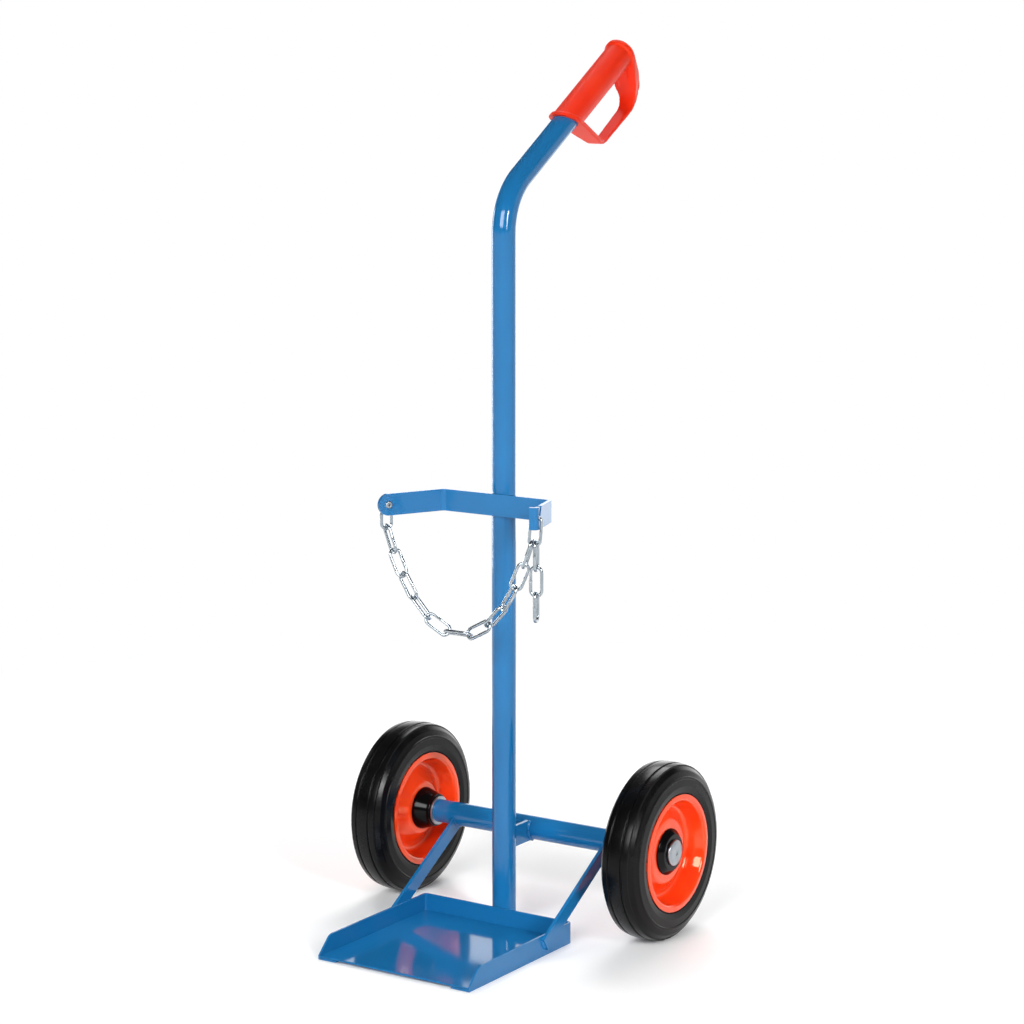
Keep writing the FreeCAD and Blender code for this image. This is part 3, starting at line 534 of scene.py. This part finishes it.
@dataclass
class Post:
    """The bent tube that carries everything, and the grip on its end."""

    wall: float = 2.6
    bend_z: float = 1026.8
    bend_r: float = 90.0
    bend_steps: int = 30
    lean: float = math.radians(57.5)
    grip_end: float = 356.9
    grip_voxel: float = 0.8
    grip_soften: float = 0.5
    grip_passes: int = 6
    grip_tuck: float = 1.0
    bore_room: float = 0.7
    bore_short: float = 2.0
    cap_r: float = 23.0
    cap_span: tuple[float, float] = (353.5, 360.0)
    cap_steps: int = 25
    guard_start: float = 255.0
    # The outer and inner bend of the guard's band: centre behind and along the tube, and radius
    guard_bends: tuple[tuple[float, float, float], ...] = (
        (34.2, 320.5, 44.0), (50.8, 321.5, 23.0))
    # Half the band's width at steps along it
    guard_half: tuple[tuple[float, float], ...] = (
        (-1.0, 9.0), (0.0, 11.0), (0.33, 12.0), (0.67, 13.7), (1.0, 17.5))
    guard_steps: int = 17
    radius: float = field(init=False)
    axis_y: float = field(init=False)

    def __post_init__(self) -> None:
        """Read the tube's size and place from the frame."""
        low, high = box_mm("post_tube")
        self.radius = (high.x - low.x) / 2
        self.axis_y = low.y + self.radius

    @property
    def place(self) -> Matrix:
        """The frame with its origin at the post's foot."""
        return Matrix.Translation((0, self.axis_y, 0))

    @property
    def rise(self) -> Vector:
        """The direction of the leaning part."""
        return Vector((0, math.sin(self.lean), math.cos(self.lean)))

    def tube(self) -> None:
        """Draw the tube from the floor, round the bend and into the grip."""
        bm = bmesh.new()
        bmesh.ops.create_circle(bm, cap_ends=False, segments=TUBE_STEPS, radius=self.radius)
        reach = self.bend_r * math.tan(self.lean / 2)
        low = self.bend_z - reach
        ring = pull(bm, bm.edges[:], Vector((0, 0, low)))
        ring = swing(bm, ring, Vector((0, self.bend_r, low)), Vector((-1, 0, 0)), self.lean,
                     self.bend_steps)
        pull(bm, ring[1], self.rise * (self.grip_end - reach))
        tidy(bm)
        bmesh.ops.solidify(bm, geom=bm.faces[:], thickness=self.wall)
        new_piece("post", bm, BLUE_COAT, Body.FRAME, ["post_tube"], self.place)

    def guard_section(self, step: float) -> list[tuple[float, float, float]]:
        """Give the four corners of the guard's band at one place.

        Args:
            step: From -1 low on the straight strip, past 0 where the bend starts, to 1 at its end.

        Returns:
            The corners, each as its distances across, along and behind the tube.
        """
        half = float(np.interp(step, *zip(*self.guard_half)))
        turn = max(step, 0.0) * math.pi / 2
        corners = []
        for behind, along, bend in self.guard_bends:
            along += bend * math.sin(turn) + min(step, 0.0) * (along - self.guard_start)
            corners += [(side, along, behind + bend * math.cos(turn)) for side in (-half, half)]
        return corners

    def widen_guard(self, bm: BMesh) -> None:
        """Widen the guard little by little up to the cap, so that the two run into one another.

        Args:
            bm: The grip's mesh, which gets the wider band as shells of its own.
        """
        back = Vector((0, math.cos(self.lean), -math.sin(self.lean)))
        start = Vector((0, self.axis_y, self.bend_z))
        cap = [(self.cap_r * math.sin(angle), along, self.cap_r * math.cos(angle))
               for along in self.cap_span
               for angle in np.linspace(-math.pi / 2, math.pi / 2, self.cap_steps)]
        sections = [self.guard_section(step) for step in np.linspace(-1, 1, self.guard_steps)]
        for lower, upper in zip(sections, sections[1:] + [cap]):
            verts = [
                bm.verts.new(start + self.rise * along + back * behind + Vector((side, 0, 0)))
                for side, along, behind in lower + upper]
            bmesh.ops.convex_hull(bm, input=verts)

    def grip(self) -> None:
        """Soften the grip's solid, as a mould does, and tuck its bore into the tube."""
        bm = node_mesh("handle_grip")
        self.widen_guard(bm)
        mesh = bpy.data.meshes.new("grip_rough")
        bmesh.ops.scale(bm, vec=Vector((1, 1, 1)) * MM, verts=bm.verts)
        bm.to_mesh(mesh)
        bm.free()
        rough = put("grip_rough", mesh)
        remesh = rough.modifiers.new("voxels", "REMESH")
        remesh.mode = "VOXEL"
        remesh.voxel_size = self.grip_voxel * MM
        smooth = rough.modifiers.new("soften", "SMOOTH")
        smooth.factor = self.grip_soften
        smooth.iterations = self.grip_passes
        view = bpy.context.evaluated_depsgraph_get()
        soft = bpy.data.meshes.new_from_object(rough.evaluated_get(view))
        bpy.data.objects.remove(rough)
        start = Vector((0, self.axis_y, self.bend_z)) * MM
        bore_end = (self.grip_end - self.bore_short) * MM
        bore_r = (self.radius + self.bore_room) * MM
        for vert in soft.vertices:
            along = (vert.co - start).dot(self.rise)
            out = vert.co - start - self.rise * along
            if along < bore_end and out.length < bore_r:
                vert.co -= out.normalized() * self.grip_tuck * MM
        dressed("grip", soft, RED_GRIP, Body.FRAME, ["handle_grip"])

    def build(self) -> None:
        """Make the post and its grip."""
        self.tube()
        self.grip()


@dataclass
class Bars:
    """The coated pieces cut from bar and sheet: tray, braces, bracket, holder and axle tube."""

    ease: float = 0.6
    sheet_ease: float = 1.3
    wall_corner: float = 6.0
    axle_wall: float = 2.6

    def build(self) -> None:
        """Carry over each bar and sheet with eased edges, and draw the axle tube."""
        for node in ("tray_rim", "tray_floor", "left_brace", "right_brace", "axle_bracket",
                     "cylinder_holder"):
            ease = self.sheet_ease if node == "tray_floor" else self.ease
            corner = self.wall_corner if node == "tray_rim" else 0.0
            bar = eased(node, ease, corner)
            made = new_piece(node + "_coated", bar, BLUE_COAT, Body.FRAME, [node])
            flat = made.modifiers.new("flat_faces", "WEIGHTED_NORMAL")
            flat.keep_sharp = True
        self.axle_tube()

    def axle_tube(self) -> None:
        """Draw the cross tube, open at both ends."""
        low, high = box_mm("axle_tube")
        bm = bmesh.new()
        turn = Matrix.Rotation(math.pi / 2, 4, "Y")
        bmesh.ops.create_circle(bm, cap_ends=False, segments=TUBE_STEPS,
                                radius=(high.z - low.z) / 2, matrix=turn)
        pull(bm, bm.edges[:], Vector((high.x - low.x, 0, 0)))
        tidy(bm)
        bmesh.ops.solidify(bm, geom=bm.faces[:], thickness=self.axle_wall)
        middle = (low + high) / 2
        place = Matrix.Translation((low.x, middle.y, middle.z))
        new_piece("axle_tube_coated", bm, BLUE_COAT, Body.FRAME, ["axle_tube"], place)


@dataclass
class Wheel:
    """One wheel with its rim halves, hub covers, washer and cap, turned about its axle."""

    side: Side
    seat_r: float = 73.0
    lip_r: float = 82.6
    lip_rise: float = 3.2
    sheet: float = 2.5
    outer_dish: float = 13.0
    inner_dish: float = 21.5
    hub_r: float = 20.05
    cover_r: float = 32.8
    shaft_r: float = 10.0
    cover_face: float = 21.5
    hub_end: float = 19.05
    bell_tip: float = 47.0
    bell_seat: float = 40.05
    groove_at: float = 10.0
    groove_half: float = 1.5
    groove_deep: float = 2.2
    cap_r: float = 18.4
    washer_r: float = 21.0
    washer_thick: float = 3.0
    radius: float = field(init=False)
    half: float = field(init=False)
    centre: Vector = field(init=False)
    body: Body = field(init=False)

    def __post_init__(self) -> None:
        """Read the wheel's size and place from the frame."""
        low, high = box_mm(self.side.word + "_tyre")
        self.radius = (high.z - low.z) / 2
        self.half = (high.x - low.x) / 2
        self.centre = (low + high) / 2
        self.body = Body(self.side.word + "_wheel")

    @property
    def place(self) -> Matrix:
        """The wheel's frame: origin in its middle, X pointing outwards."""
        return Matrix.Translation(self.centre) @ Matrix.Scale(self.side.value, 4, (1, 0, 0))

    def turned(self, word: str, corners: Sequence[tuple], finish: Finish, body: Body) -> None:
        """Turn one ring of the wheel from its half section.

        Args:
            word: The node's name without its side.
            corners: X from the middle, radius and rounding of each corner.
            finish: What the ring is made of.
            body: The body that it rides on.
        """
        name = f"{self.side.word}_{word}"
        new_piece(name + "_turned", lathe(corners), finish, body, [name], self.place)

    def rim_half(self, word: str, dish: float, flip: float) -> None:
        """Press one rim half: hub flange, dish, seat and rolled lip.

        Args:
            word: The node's name without its side.
            dish: How far the hub flange stands out from the wheel's middle.
            flip: 1 for the outer half, -1 for the inner one.
        """
        bm = lathe([
            (dish, self.hub_r, 0),
            (dish, self.seat_r - 17.5 - (dish - self.sheet), 8.0),
            (self.sheet, self.seat_r - 15.5, 9.0),
            (self.sheet, self.seat_r - 7.0, 6.0),
            (self.half - 2.0, self.seat_r, 5.5),
            (self.half, self.seat_r + self.lip_rise, 3.0),
            (self.half - 1.0, self.lip_r, 0),
        ], closed=False)
        if sum(face.normal.x * face.calc_area() for face in bm.faces) < 0:
            bmesh.ops.reverse_faces(bm, faces=bm.faces)
        bmesh.ops.solidify(bm, geom=bm.faces[:], thickness=self.sheet)
        name = f"{self.side.word}_{word}"
        place = self.place @ Matrix.Scale(flip, 4, (1, 0, 0))
        new_piece(name + "_pressed", bm, RIM_ENAMEL, self.body, [name], place)

    def tyre(self) -> None:
        """Mould the tyre: grooved tread, stepped shoulders and ribbed walls."""
        seat = self.seat_r + self.sheet + 0.1
        lip = self.half - self.sheet - 1.1
        at, wide, deep = self.groove_at, self.groove_half, self.groove_deep
        right = [
            (lip - 5.0, seat + 1.2, 0),
            (lip, seat + 4.0, 0.5),
            (lip - 0.6, self.lip_r + 1.0, 0.3),
            (self.half - 1.6, self.lip_r + 2.0, 0.8),
            (self.half, self.lip_r + 11.0, 6.0),
            (self.half - 0.8, self.lip_r + 21.0, 0.3),
            (self.half - 0.2, self.lip_r + 21.8, 0.3),
            (self.half - 0.6, self.lip_r + 24.5, 0.4),
            (self.half - 1.6, self.lip_r + 25.0, 0.3),
            (self.half - 4.5, self.radius - 9.5, 6.0),
            (self.half - 9.8, self.radius - 4.4, 0.6),
            (self.half - 10.4, self.radius - 2.2, 0.7),
            (at + wide, self.radius - 0.6, 1.1),
            (at + wide - 0.7, self.radius - deep, 0.4),
            (at - wide + 0.7, self.radius - deep, 0.4),
            (at - wide, self.radius - 0.3, 1.1),
            (3.0, self.radius, 0),
        ]
        left = [(-x, r, rounding) for x, r, rounding in right[::-1]]
        self.turned("tyre", right + left, TYRE_RUBBER, self.body)

    def covers(self) -> None:
        """Mould the outer hub cover and the inner bell."""
        bore = self.shaft_r + 0.3
        base = self.outer_dish + 0.05
        self.turned("hub_cover_outer", [
            (base, self.hub_r, 0),
            (base, self.cover_r, 0.6),
            (base + 2.0, self.cover_r - 0.4, 1.5),
            (self.cover_face, self.cover_r - 7.5, 1.5),
            (self.cover_face, bore, 0),
            (self.hub_end, bore, 0),
            (self.hub_end, self.hub_r, 0),
        ], HUB_BLACK, self.body)
        base = -self.inner_dish - 0.05
        tip = -self.bell_tip
        seat = -self.bell_seat
        self.turned("hub_cover_inner", [
            (base, self.hub_r, 0),
            (base, self.cover_r - 1.8, 0.6),
            (base - 3.5, self.cover_r - 2.4, 4.0),
            (tip + 4.0, self.cover_r - 9.2, 10.0),
            (tip, self.cover_r - 9.2, 1.2),
            (tip, bore, 0),
            (seat, bore, 0),
            (seat, self.hub_r, 0),
        ], HUB_BLACK, self.body)

    def span_of(self, word: str) -> tuple[float, float]:
        """Find where a ring on the shaft lies.

        Args:
            word: The node's name without its side.

        Returns:
            Where it starts, outwards from the wheel's middle, and how thick it is.
        """
        low, high = box_mm(f"{self.side.word}_{word}")
        start = (low.x if self.side is Side.RIGHT else -high.x) - abs(self.centre.x)
        return start, high.x - low.x

    def fasteners(self) -> None:
        """Turn the zinc cap outside the wheel and the washer inside it."""
        start, thick = self.span_of("lock_cap")
        bore = self.shaft_r + 0.05
        self.turned("lock_cap", [
            (start, bore, 0),
            (start, self.cap_r, 0.5),
            (start + 3.2, self.cap_r, 1.8),
            (start + thick, 13.0, 3.0),
            (start + thick, 3.6, 0.5),
            (start + 4.0, 2.6, 0.3),
            (start + 4.0, 0, 0),
            (start + 3.05, 0, 0),
            (start + 3.05, bore, 0),
        ], ZINC_PLATE, Body.FRAME)
        start, _ = self.span_of("axle_washer")
        self.turned("axle_washer", [
            (start, bore, 0),
            (start, self.washer_r, 0.5),
            (start + self.washer_thick, self.washer_r, 0.5),
            (start + self.washer_thick, bore, 0),
        ], ZINC_PLATE, Body.FRAME)

    def build(self) -> None:
        """Make every ring of the wheel."""
        self.tyre()
        self.rim_half("rim_outer", self.outer_dish, 1)
        self.rim_half("rim_inner", self.inner_dish, -1)
        self.covers()
        self.fasteners()


@dataclass
class Chain:
    """The welded links, from the rivet to the hook slot and down the loose tail."""

    wire: float = 4.5
    inner_width: float = 11.0
    reach: float = 20.0
    wire_sides: int = 20
    bend_steps: int = 18
    weld_swell: float = 1.1
    links: int = 13
    tail: int = 3

    def frame_of(self, node: str) -> Matrix:
        """Find where a link lies from its own solid.

        Args:
            node: The link's node.

        Returns:
            The link's frame: X along it, Y across its opening, in millimetres.
        """
        solid = node_mesh(node)
        points = np.unique(np.array([tuple(v.co) for v in solid.verts]).round(3), axis=0)
        solid.free()
        rough = points.mean(0)
        axes = np.linalg.svd(points - rough, full_matrices=False)[2]
        axes[2] = np.cross(axes[0], axes[1])
        spread = (points - rough) @ axes.T
        middle = rough + (spread.max(0) + spread.min(0)) / 2 @ axes
        turn = Matrix([[float(axes[c][r]) for c in range(3)] for r in range(3)]).to_4x4()
        return Matrix.Translation(Vector(middle)) @ turn

    def link(self) -> BMesh:
        """Bend one link from wire, with the butt weld's swelling in one leg.

        Returns:
            The link about its own middle, X along it.
        """
        bend = (self.inner_width + self.wire) / 2
        half = self.reach - bend
        bm = bmesh.new()
        start = Matrix.Translation((-half, -bend, 0)) @ Matrix.Rotation(math.pi / 2, 4, "Y")
        bmesh.ops.create_circle(bm, cap_ends=False, segments=self.wire_sides,
                                radius=self.wire / 2, matrix=start)
        edges = bm.edges[:]
        steps = [0.42, 0.05, 0.06, 0.05, 0.42]
        swells = [1.0, self.weld_swell, self.weld_swell, 1.0, 1.0]
        for step, swell, last in zip(steps, swells, [1.0] + swells):
            verts, edges = pull(bm, edges, Vector((2 * half * step, 0, 0)))
            middle = sum((v.co for v in verts), Vector()) / len(verts)
            bmesh.ops.scale(bm, vec=Vector((1, 1, 1)) * (swell / last), verts=verts,
                            space=Matrix.Translation(-middle))
        up = Vector((0, 0, 1))
        ring = swing(bm, (verts, edges), Vector((half, 0, 0)), up, math.pi, self.bend_steps)
        ring = pull(bm, ring[1], Vector((-2 * half, 0, 0)))
        swing(bm, ring, Vector((-half, 0, 0)), up, math.pi, self.bend_steps)
        tidy(bm)
        return bm

    def build(self) -> None:
        """Make every link on the body that carries it."""
        bodies = {f"chain_link_{i:02d}": Body.CHAIN for i in range(2, self.links)}
        bodies["chain_link_01"] = Body.FRAME
        bodies[f"chain_link_{self.links:02d}"] = Body.FRAME
        for i in range(1, self.tail + 1):
            bodies[f"tail_link_{i}"] = Body[f"TAIL_{i}"]
        for node, body in bodies.items():
            place = self.frame_of(node)
            new_piece(node + "_wire", self.link(), ZINC_CHAIN, body, [node], place)


@dataclass
class Rivet:
    """The hollow rivet through the holder's left end, and its washer."""

    wing_angle: float = math.radians(64.0)
    bar: float = 5.0
    shank: float = 3.0
    bore: float = 1.6
    wire_room: float = 5.1
    washer: float = 1.5
    foot: float = 1.8
    head: float = 2.4
    steps: int = 40

    def build(self) -> None:
        """Turn the rivet and the washer along the wing's normal."""
        out = Vector((-math.sin(self.wing_angle), math.cos(self.wing_angle), 0))
        along = Vector((-math.cos(self.wing_angle), -math.sin(self.wing_angle), 0))
        far = self.wire_room + self.washer
        foot = -self.bar - self.foot
        head = far + self.head
        middle = middle_of("chain_rivet") - out * (foot + head) / 2
        turn = Matrix((out, along, out.cross(along))).transposed().to_4x4()
        place = Matrix.Translation(middle) @ turn
        sections = {
            "chain_rivet": [
                (foot, self.bore, 0.4),
                (foot, self.shank + 1.6, 1.2),
                (-self.bar, self.shank + 2.4, 0),
                (-self.bar, self.shank, 0),
                (far, self.shank, 0),
                (far, self.shank + 1.8, 0),
                (head, self.shank + 0.6, 0.8),
                (head, self.bore, 0.4),
            ],
            "rivet_washer": [
                (self.wire_room, self.shank + 0.05, 0),
                (self.wire_room, self.shank + 4.5, 0.3),
                (far, self.shank + 4.5, 0.3),
                (far, self.shank + 0.05, 0),
            ],
        }
        for node, corners in sections.items():
            ring = lathe(corners, self.steps)
            new_piece(node + "_turned", ring, ZINC_PLATE, Body.FRAME, [node], place)


@dataclass
class Welds:
    """The fillet welds under the coat, each a row of overlapping ripples."""

    post: Post
    ripple: float = 1.5
    swell: float = 0.06
    sides: int = 12
    least_ripples: int = 6
    nudge: float = 0.01
    # How thick a bead starts, and how many ripples it takes to its full width
    end_start: float = 0.04
    end_ripples: float = 2.2
    brace_angle: float = math.radians(31.55)
    brace_width: float = 20.0
    foot_z: float = 8.6
    post_toe: float = 7.5
    post_sink: float = 1.2
    post_bead: float = 2.6
    bracket_beads: tuple[float, float] = (2.4, 2.2)
    bracket_arc: tuple[float, float] = (131, 262)
    brace_bead: float = 1.9
    brace_arc: tuple[float, float] = (195, 281)
    foot_bead: float = 3.4

    def bead(self, bm: BMesh, line: Line, length: float, radius: float) -> None:
        """Lay one bead along a line.

        Args:
            bm: The mesh that gets the bead.
            line: The point at a share of the bead's length, from 0 to 1.
            length: The bead's length, which sets the number of ripples.
            radius: The bead's half width.
        """
        count = max(self.least_ripples, round(length / self.ripple))
        frames = []
        for i in range(count + 1):
            share = i / count
            ahead = line(min(1, share + self.nudge)) - line(max(0, share - self.nudge))
            full = (self.end_start + min(i, count - i)) / self.end_ripples
            size = radius * math.sqrt(min(1.0, full)) * (1 + self.swell * (-1) ** i)
            turn = ahead.to_track_quat("Z", "Y").to_matrix().to_4x4()
            frames.append(Matrix.Translation(line(share)) @ turn @ Matrix.Scale(size, 4))
        start = bmesh.ops.create_circle(bm, cap_ends=True, segments=self.sides, radius=1.0,
                                        matrix=frames[0])
        edges = list({edge for vert in start["verts"] for edge in vert.link_edges})
        for before, after in zip(frames, frames[1:]):
            verts, edges = ring_of(bmesh.ops.extrude_edge_only(bm, edges=edges))
            bmesh.ops.transform(bm, matrix=after @ before.inverted(), verts=verts)
        bmesh.ops.contextual_create(bm, geom=edges)

    def group(self, name: str, beads: Sequence[tuple]) -> None:
        """Make the beads of one joint a piece.

        Args:
            name: The piece's name.
            beads: Line, length and radius of each bead, from the post's foot.
        """
        bm = bmesh.new()
        for line, length, radius in beads:
            self.bead(bm, line, length, radius)
        bmesh.ops.recalc_face_normals(bm, faces=bm.faces)
        new_piece(name, bm, BLUE_COAT, Body.FRAME, place=self.post.place)

    @staticmethod
    def straight(start: Sequence[float], finish: Sequence[float]) -> tuple[Line, float]:
        """A straight line between two points, and its length."""
        one, two = Vector(start), Vector(finish)
        return (lambda share: one.lerp(two, share)), (two - one).length

    @staticmethod
    def arc_x(
        centre: Sequence[float], radius: float, first: float, last: float
    ) -> tuple[Line, float]:
        """An arc about an axis along X, and its length.

        Args:
            centre: A point on the axis.
            radius: The arc's radius.
            first: The angle where it starts, in degrees from +Y towards +Z.
            last: The angle where it ends.

        Returns:
            The line and its length.
        """
        middle = Vector(centre)

        def line(share: float) -> Vector:
            """The point at a share of the arc."""
            angle = math.radians(first + (last - first) * share)
            return middle + Vector((0, math.cos(angle), math.sin(angle))) * radius

        return line, math.radians(abs(last - first)) * radius

    def post_beads(self, low: float, high: float) -> list[tuple]:
        """Line, length and radius of the two beads up the post's front, from low to high."""
        y = self.post_sink - self.post.radius
        return [(*self.straight((x, y, low), (x, y, high)), self.post_bead)
                for x in (-self.post_toe, self.post_toe)]

    def build(self) -> None:
        """Weld the holder, the tray, the bracket and both braces."""
        r = self.post.radius
        axle = middle_of("axle_tube") - Vector((0, self.post.axis_y, 0))
        low, high = box_mm("cylinder_holder")
        self.group("weld_holder", self.post_beads(low.z + 2, high.z - 2))
        self.group("weld_tray_post", self.post_beads(2, box_mm("tray_rim")[1].z - 1))
        low, high = box_mm("axle_bracket")
        upright, round_axle = self.bracket_beads
        beads = []
        for sign in (-1, 1):
            x = sign * (high.x + 1.0)
            y = r - 0.2
            beads.append((*self.straight((x, y, low.z + 1), (x, y, high.z - 1)), upright))
            arc = self.arc_x((x, axle.y, axle.z), r + 0.4, *self.bracket_arc)
            beads.append((*arc, round_axle))
        self.group("weld_bracket", beads)
        for side in Side:
            self.brace_welds(side, axle, r)

    def brace_welds(self, side: Side, axle: Vector, r: float) -> None:
        """Weld one brace to the axle tube and to the tray's wall.

        Args:
            side: Which brace.
            axle: The axle's middle, from the post's foot.
            r: The axle tube's radius.
        """
        low, high = box_mm(f"{side.word}_brace")
        first, last = self.brace_arc
        beads = []
        for x in (low.x - 0.6, high.x + 0.6):
            arc = self.arc_x((x, axle.y, axle.z), r + 0.3, first, last)
            beads.append((*arc, self.brace_bead))
        top = self.arc_x((low.x, axle.y, axle.z), r + 0.3, first + 1, last)[0](0)
        over = self.straight(top, top + Vector((high.x - low.x, 0, 0)))
        beads.append((*over, self.brace_bead))
        across = Vector((0, -math.sin(self.brace_angle), math.cos(self.brace_angle)))
        wall = low.x if side is Side.RIGHT else high.x
        foot = Vector((wall, low.y - self.post.axis_y - across.y * self.brace_width, self.foot_z))
        up = self.straight(foot + across * 2, foot + across * (self.brace_width - 2))
        beads.append((*up, self.foot_bead))
        self.group(f"weld_{side.word}_brace", beads)


@dataclass(frozen=True)
class SoftBox:
    """One soft box: watts, metres, and the spread of its beam in degrees."""

    name: str
    power: float
    size: tuple[float, float]
    eye: tuple[float, float, float]
    aim: tuple[float, float, float]
    spread: float = 180.0

    def hang(self) -> None:
        """Hang the box in its place, facing its aim."""
        data = bpy.data.lights.new(self.name, "AREA")
        data.shape = "RECTANGLE"
        data.size, data.size_y = self.size
        data.energy = self.power
        data.spread = math.radians(self.spread)
        made = put(self.name, data)
        made.location = self.eye
        facing = Vector(self.aim) - Vector(self.eye)
        made.rotation_euler = facing.to_track_quat("-Z", "Y").to_euler()


@dataclass(frozen=True)
class Studio:
    """Pale floor, soft boxes, a dim room and the camera."""

    azimuth: float = math.radians(33.48)
    elevation: float = math.radians(9.53)
    distance: float = 4082.0
    aim_across: float = 11.27
    aim_up: float = 585.34
    focal_px: float = 2874.0
    picture_px: float = 1024.0
    sensor: float = 36.0
    floor_half: float = 60000.0
    floor_lift: float = 0.02
    floor_fade: tuple[float, float] = (0.75, 1.9)
    backdrop: float = 1.0
    backdrop_top: tuple[float, float] = (0.42, 0.1)
    backdrop_side: tuple[float, float] = (0.0, 0.5)
    ceiling: float = 0.1
    boxes: tuple[SoftBox, ...] = (
        SoftBox("key_box", 112.0, (2.2, 1.6), (0.6, -3.7, 2.2), (0.0, 0.0, 0.3)),
        SoftBox("top_box", 50.0, (1.6, 1.6), (-0.5, 1.9, 2.4), (0.0, 0.0, 0.0)),
        SoftBox("left_box", 15.0, (0.3, 1.4), (-2.4, 0.3, 0.75), (0.0, 0.0, 0.5)),
        SoftBox("right_box", 7.8, (0.5, 1.2), (3.0, -1.7, 1.7), (0.0, 0.1, 0.05), spread=55),
        SoftBox("back_box", 28.0, (4.0, 1.6), (-1.0, 2.7, 0.82), (0.0, 0.0, 0.6)),
    )

    def camera(self, post: Post) -> None:
        """Stand the camera at the photograph's viewing angle, measured from the post's foot."""
        data = bpy.data.cameras.new("camera")
        data.sensor_width = self.sensor
        data.lens = self.sensor * self.focal_px / self.picture_px
        data.clip_end = 200.0
        level = math.cos(self.elevation)
        back = Vector((math.sin(self.azimuth) * level, -math.cos(self.azimuth) * level,
                       math.sin(self.elevation)))
        right = Vector((math.cos(self.azimuth), math.sin(self.azimuth), 0))
        up = right.cross(-back)
        aim = Vector((0, post.axis_y, 0))
        eye = aim + back * self.distance + right * self.aim_across + up * self.aim_up
        made = put("camera", data)
        made.location = eye * MM
        made.rotation_euler = (-back).to_track_quat("-Z", "Y").to_euler()
        bpy.context.scene.camera = made

    def floor(self) -> None:
        """Lay the pale floor; it is white to the eye and keeps the cart's shadow."""
        bm = bmesh.new()
        bmesh.ops.create_grid(bm, x_segments=1, y_segments=1, size=self.floor_half * MM)
        mesh = bpy.data.meshes.new("floor")
        bm.to_mesh(mesh)
        bm.free()
        put("floor", mesh)
        paper = bpy.data.materials.new("floor_paper")
        paper.use_nodes = True
        tree = paper.node_tree
        tree.nodes.clear()
        place = add(tree, "TexCoord").outputs["Object"]
        away = add(tree, "VectorMath", {"operation": "LENGTH"}, {0: place})
        far = fade(tree, away.outputs["Value"], self.floor_fade)
        ray = add(tree, "LightPath")
        seen = add(tree, "Math", {"operation": "MAXIMUM"},
                   {0: ray.outputs["Is Camera Ray"], 1: ray.outputs["Is Glossy Ray"]})
        matt = add(tree, "BsdfDiffuse", inputs={"Color": linear("#F4F4F4")})
        clean = linear("#FFFFFF")
        lift = add(tree, "Emission", inputs={"Color": clean, "Strength": self.floor_lift})
        paper_white = add(tree, "BsdfDiffuse", inputs={"Color": clean})
        near = add(tree, "AddShader", inputs={0: paper_white.outputs[0], 1: lift.outputs[0]})
        white = add(tree, "Emission", inputs={"Color": clean, "Strength": 1.0})
        shown = add(tree, "MixShader", inputs={
            0: far, 1: near.outputs[0], 2: white.outputs[0]})
        both = add(tree, "MixShader", inputs={
            0: seen.outputs[0], 1: matt.outputs[0], 2: shown.outputs[0]})
        add(tree, "OutputMaterial", inputs={"Surface": both.outputs[0]})
        mesh.materials.append(paper)

    def light(self) -> None:
        """Set the dim room and the soft boxes."""
        world = bpy.data.worlds.new("room")
        world.use_nodes = True
        tree = world.node_tree
        tree.nodes.clear()
        way = add(tree, "SeparateXYZ", inputs={0: add(tree, "TexCoord").outputs["Generated"]})
        low = fade(tree, way.outputs["Z"], self.backdrop_top)
        behind = fade(tree, way.outputs["Y"], self.backdrop_side, low)
        level = add(tree, "MapRange", inputs={
            "Value": behind, "To Min": self.ceiling, "To Max": self.backdrop})
        seen = add(tree, "LightPath").outputs["Is Camera Ray"]
        level = add(tree, "Math", {"operation": "MAXIMUM"}, {0: seen, 1: level.outputs["Result"]})
        room = add(tree, "Background", inputs={
            "Color": linear("#FFFFFF"), "Strength": level.outputs[0]})
        add(tree, "OutputWorld", inputs={"Surface": room.outputs[0]})
        bpy.context.scene.world = world
        for box in self.boxes:
            box.hang()

    def build(self, post: Post) -> None:
        """Set up the floor, the light and the camera."""
        self.floor()
        self.light()
        self.camera(post)
        bpy.context.scene.view_settings.view_transform = "Standard"


def dress_hidden() -> None:
    """Give the inner steel pieces that stay as they are their finish."""
    nodes = ["axle_shaft"]
    for side in Side:
        nodes += [f"{side.word}_{word}" for word in ("axle_bush", "hub_tube", "roller_bearing")]
    for node in nodes:
        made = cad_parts[node]
        made.data.materials.clear()
        made.data.materials.append(material_of(OILED_STEEL))
        LOG.info("%s: carried over", node)


def main() -> None:
    """Build the cart's looks piece by piece."""
    logging.basicConfig(level=logging.INFO, format="%(name)s: %(message)s")
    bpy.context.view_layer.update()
    bpy.context.scene.unit_settings.system = "METRIC"
    post = Post()
    post.build()
    Bars().build()
    for side in Side:
        Wheel(side).build()
    Chain().build()
    Rivet().build()
    Welds(post).build()
    dress_hidden()
    Studio().build(post)


if __name__ == "__main__":
    main()
